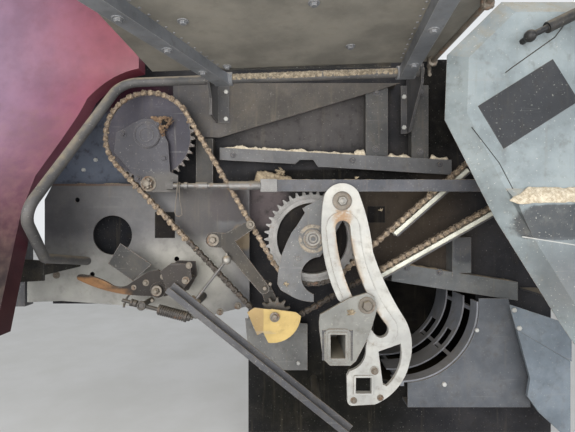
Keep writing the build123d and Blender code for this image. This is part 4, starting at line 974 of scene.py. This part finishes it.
plate_top = 118
soft_dust = Piece("frame_dust", "grey_paint", finish=straw_crust)
for start, end, width, height, seed in (
        ((-840, -40, plate_top), (-345, -40, plate_top), 50, 5, 0.5),
        ((392, -38, -173), (600, -38, -205), 46, 6, 3.1),
        ((684, -38, -219), (840, -38, -243), 46, 5, 4.4),
        ((-345, -52, plate_top), (-268, -52, plate_top), 40, 8, 2.7),
        ((-30, -184, 123), (320, -184, 123), 9, 3, 5.7),
        ((360, -184, 123), (680, -184, 123), 9, 3, 6.3),
        ((450, -40, -693), (880, -40, -693), 55, 8, 7.7),
        ((-96, -30, -566), (70, -30, -566), 38, 8, 8.1)):
    soft_dust.crust(start, end, width, height, seed, bare=0.1)
soft_dust.crust((-250, -52, plate_top), (20, -52, plate_top), 40, 14, 2.1, bare=-0.4, wave=110)
soft_dust.crust((-130, -52, plate_top), (28, -52, plate_top), 46, 38, 5.3, bare=-0.35, wave=120)
soft_dust.done(70)


def tuft(piece, x, y, z, reach, count):
    """Loose bits of straw that lie crossed over each other."""
    for _ in range(count):
        shift = Vector((rng.uniform(-1, 1), rng.uniform(-0.3, 0.3), rng.uniform(-1, 1)))
        middle = Vector((x, y, z)) + shift * reach * 0.4
        lie = Vector((rng.uniform(-1, 1), rng.uniform(-0.25, 0.25), rng.uniform(-0.7, 0.7))).normalized()
        bend = Vector((0, rng.uniform(-1, 0), rng.uniform(-1, 1))) * reach * 0.15
        half = lie * reach * rng.uniform(0.3, 0.7)
        piece.tube([middle - half, middle + bend, middle + half], rng.uniform(0.6, 1.3), 4)


# A torn ball of straw round a hole on the carrier; the hole's dark inside is painted shade
nest_x, nest_z = -427, 327
nest_y = carrier_face + 0.5
nest = Piece("straw_nest", "grey_paint", finish=nest_crust)
for i, angle in enumerate(circle(16)):
    reach = rng.uniform(14, 20)
    seat = out(nest_x + reach * cos(angle), nest_y, nest_z + reach * sin(angle))
    nest.lump(seat, rng.uniform(4, 7), 6, i * 1.7)
for x, z, radius in ((-458, 338, 9), (-447, 332, 11), (-441, 305, 9),
                     (-437, 292, 7), (-434, 280, 5), (-470, 342, 6)):
    nest.lump(out(x, nest_y, z), radius, 5, x * 0.3)
for x, z, reach, count in ((-452, 334, 22, 12), (-436, 296, 22, 12), (-410, 332, 20, 9)):
    tuft(nest, x, -152, z, reach, count)
nest.done(60)
# The hole's dark inside: a flat near-black lump, painted shade
nest_middle = Piece("nest_hole_shade", "grey_paint", finish=shade_and_dirt_black)
nest_middle.lump(out(nest_x, nest_y, nest_z), 12, 2, 3.1, 16)
nest_middle.done(60)

# Small bits of straw that lie about
bits = Piece("straw_bits", "grey_paint", finish=straw_crust)
for x, y, z, reach, count in ((480, -183, 90, 16, 16), (-113, -62, 222, 12, 12), (230, -210, 130, 9, 8),
                              (425, -52, 225, 16, 10), (-25, -60, 160, 26, 26), (-200, -180, -150, 8, 6),
                              (310, -216, 20, 10, 6), (205, -246, -312, 17, 26), (-5, -176, -232, 14, 12)):
    tuft(bits, x, y, z, reach, count)
bits.done(60)

# Blank plates, and the seams and the crease of the rear cover
sign_black = painted("sign_black", (0.024, 0.026, 0.030), 0.30, 0.10, 0.45, haze=0.04, specks=0.3)
cover_sign = Piece("cover_sign", "dark_paint", finish=sign_black)
sign_corners = [(559, 323), (635, 197), (856, 338), (779, 461)]
cover_sign.slab(out(0, cover_face, 0), sign_corners, -0.4, 1.4, 0.5)
cover_sign.done()
seam = Piece("cover_seam", "black_rubber", finish=shade_and_dirt_black)
seam.tube([(x, -365.2, z) for x, z in ((640, 421), (661, 437), (785, 525), (844, 604))], 1.6, 6)
seam.tube([(x, cover_face, z) for x, z in ((541, 261), (622, 156), (664, 76))], 1.2, 6)
seam.done()
crease = Piece("cover_crease", "light_grey_paint", finish=white_steel)
crease.tube([(x, -364.2, z) for x, z in ((690, -61), (760, -72), (850, -86), (940, -98))], 2.0, 8)
crease.done()

sticker = Piece("plate_sticker", "dark_paint", finish=shade_and_dirt_black)
for face, corners in ((plate_face, [(-487, 15), (-487, -81), (-413, -81), (-413, 15)]),
                      (wall_face, [(306, -26), (374, -26), (374, 38), (306, 38)])):
    sticker.slab(out(0, face, 0), corners, -0.3, 0.9, 0.4)
sticker.done()

# Rust rubbed along the edges of the arm's slot
slot_centre, slot_radius, slot_half_width = (802, -1), 620, 24.6
slot_rust = Piece("slot_rust", "rusty_steel", "arm")
for radius in (slot_radius - slot_half_width, slot_radius + slot_half_width):
    slot_edge = arc(slot_centre, radius, 184.2, 216.8, 40)
    slot_rust.tube([(x, -204, z) for x, z in slot_edge], 1.3, 6)
slot_rust.done(60)


def lamp(name, place, target, size, power, colour, spread=180):
    data = bpy.data.lights.new(name, "AREA")
    data.shape = "DISK"
    data.size = size
    data.energy = power
    data.color = colour
    data.spread = radians(spread)
    light = placed(name, data)
    light.location = place
    light.rotation_euler = (Vector(target) - Vector(place)).to_track_quat("-Z", "Y").to_euler()


lamp("key_lamp", (-0.9, -3.0, 0.25), (0, 0, 0), 2.8, 54, (1.0, 0.985, 0.96), 120)
lamp("fill_lamp", (1.9, -2.8, -0.3), (0, 0, 0), 2.6, 26, (0.93, 0.96, 1.0), 120)
lamp("ground_lamp", (-0.3, -1.9, -0.45), (0.0, -0.6, 0.5), 0.9, 2.8, (1.0, 0.96, 0.88), 70)
lamp("top_lamp", (0.8, -1.5, 2.6), (0, -0.2, 0.4), 1.8, 21, (0.95, 0.97, 1.0))

# World: soft even light, and a pale backdrop for the camera
world = bpy.data.worlds.new("world")
bpy.context.scene.world = world
sky = Finish(world)
camera_rays = sky.node("ShaderNodeLightPath", {}, {}, "Is Camera Ray")
through_rays = sky.node("ShaderNodeLightPath", {}, {}, "Is Transmission Ray")
seen = camera_rays.maths("MAXIMUM", camera_rays, through_rays)
soft_light = sky.node("ShaderNodeBackground", {}, {"Color": (0.93, 0.96, 1.0), "Strength": 0.56})
backdrop = sky.node("ShaderNodeBackground", {}, {"Color": (0.80, 0.82, 0.84), "Strength": 1.0})
choice = sky.node("ShaderNodeMixShader", {}, {0: seen, 1: soft_light, 2: backdrop})
sky.node("ShaderNodeOutputWorld", {}, {"Surface": choice})

bpy.context.scene.view_settings.view_transform = "Standard"

# Floor
floor_gap = 0.02
floor_size = 9.0
floor_mesh = bpy.data.meshes.new("floor")
shape = bmesh.new()
corners = [(-1, -1), (1, -1), (1, 1), (-1, 1)]
floor_z = cad_box[0].z - floor_gap
shape.faces.new([shape.verts.new((x * floor_size, y * floor_size, floor_z)) for x, y in corners])
shape.to_mesh(floor_mesh)
shape.free()
floor = placed("floor", floor_mesh)
floor_finish = Finish(bpy.data.materials.new("pale_floor"))
floor_cloud = floor_finish.noise(3, 5, 0.6)
floor_colour = floor_finish.mix(floor_cloud.between(0.3, 0.7), (0.66, 0.65, 0.62), (0.72, 0.71, 0.69))
floor_mesh.materials.append(floor_finish.surface(Base_Color=floor_colour, Roughness=0.8))
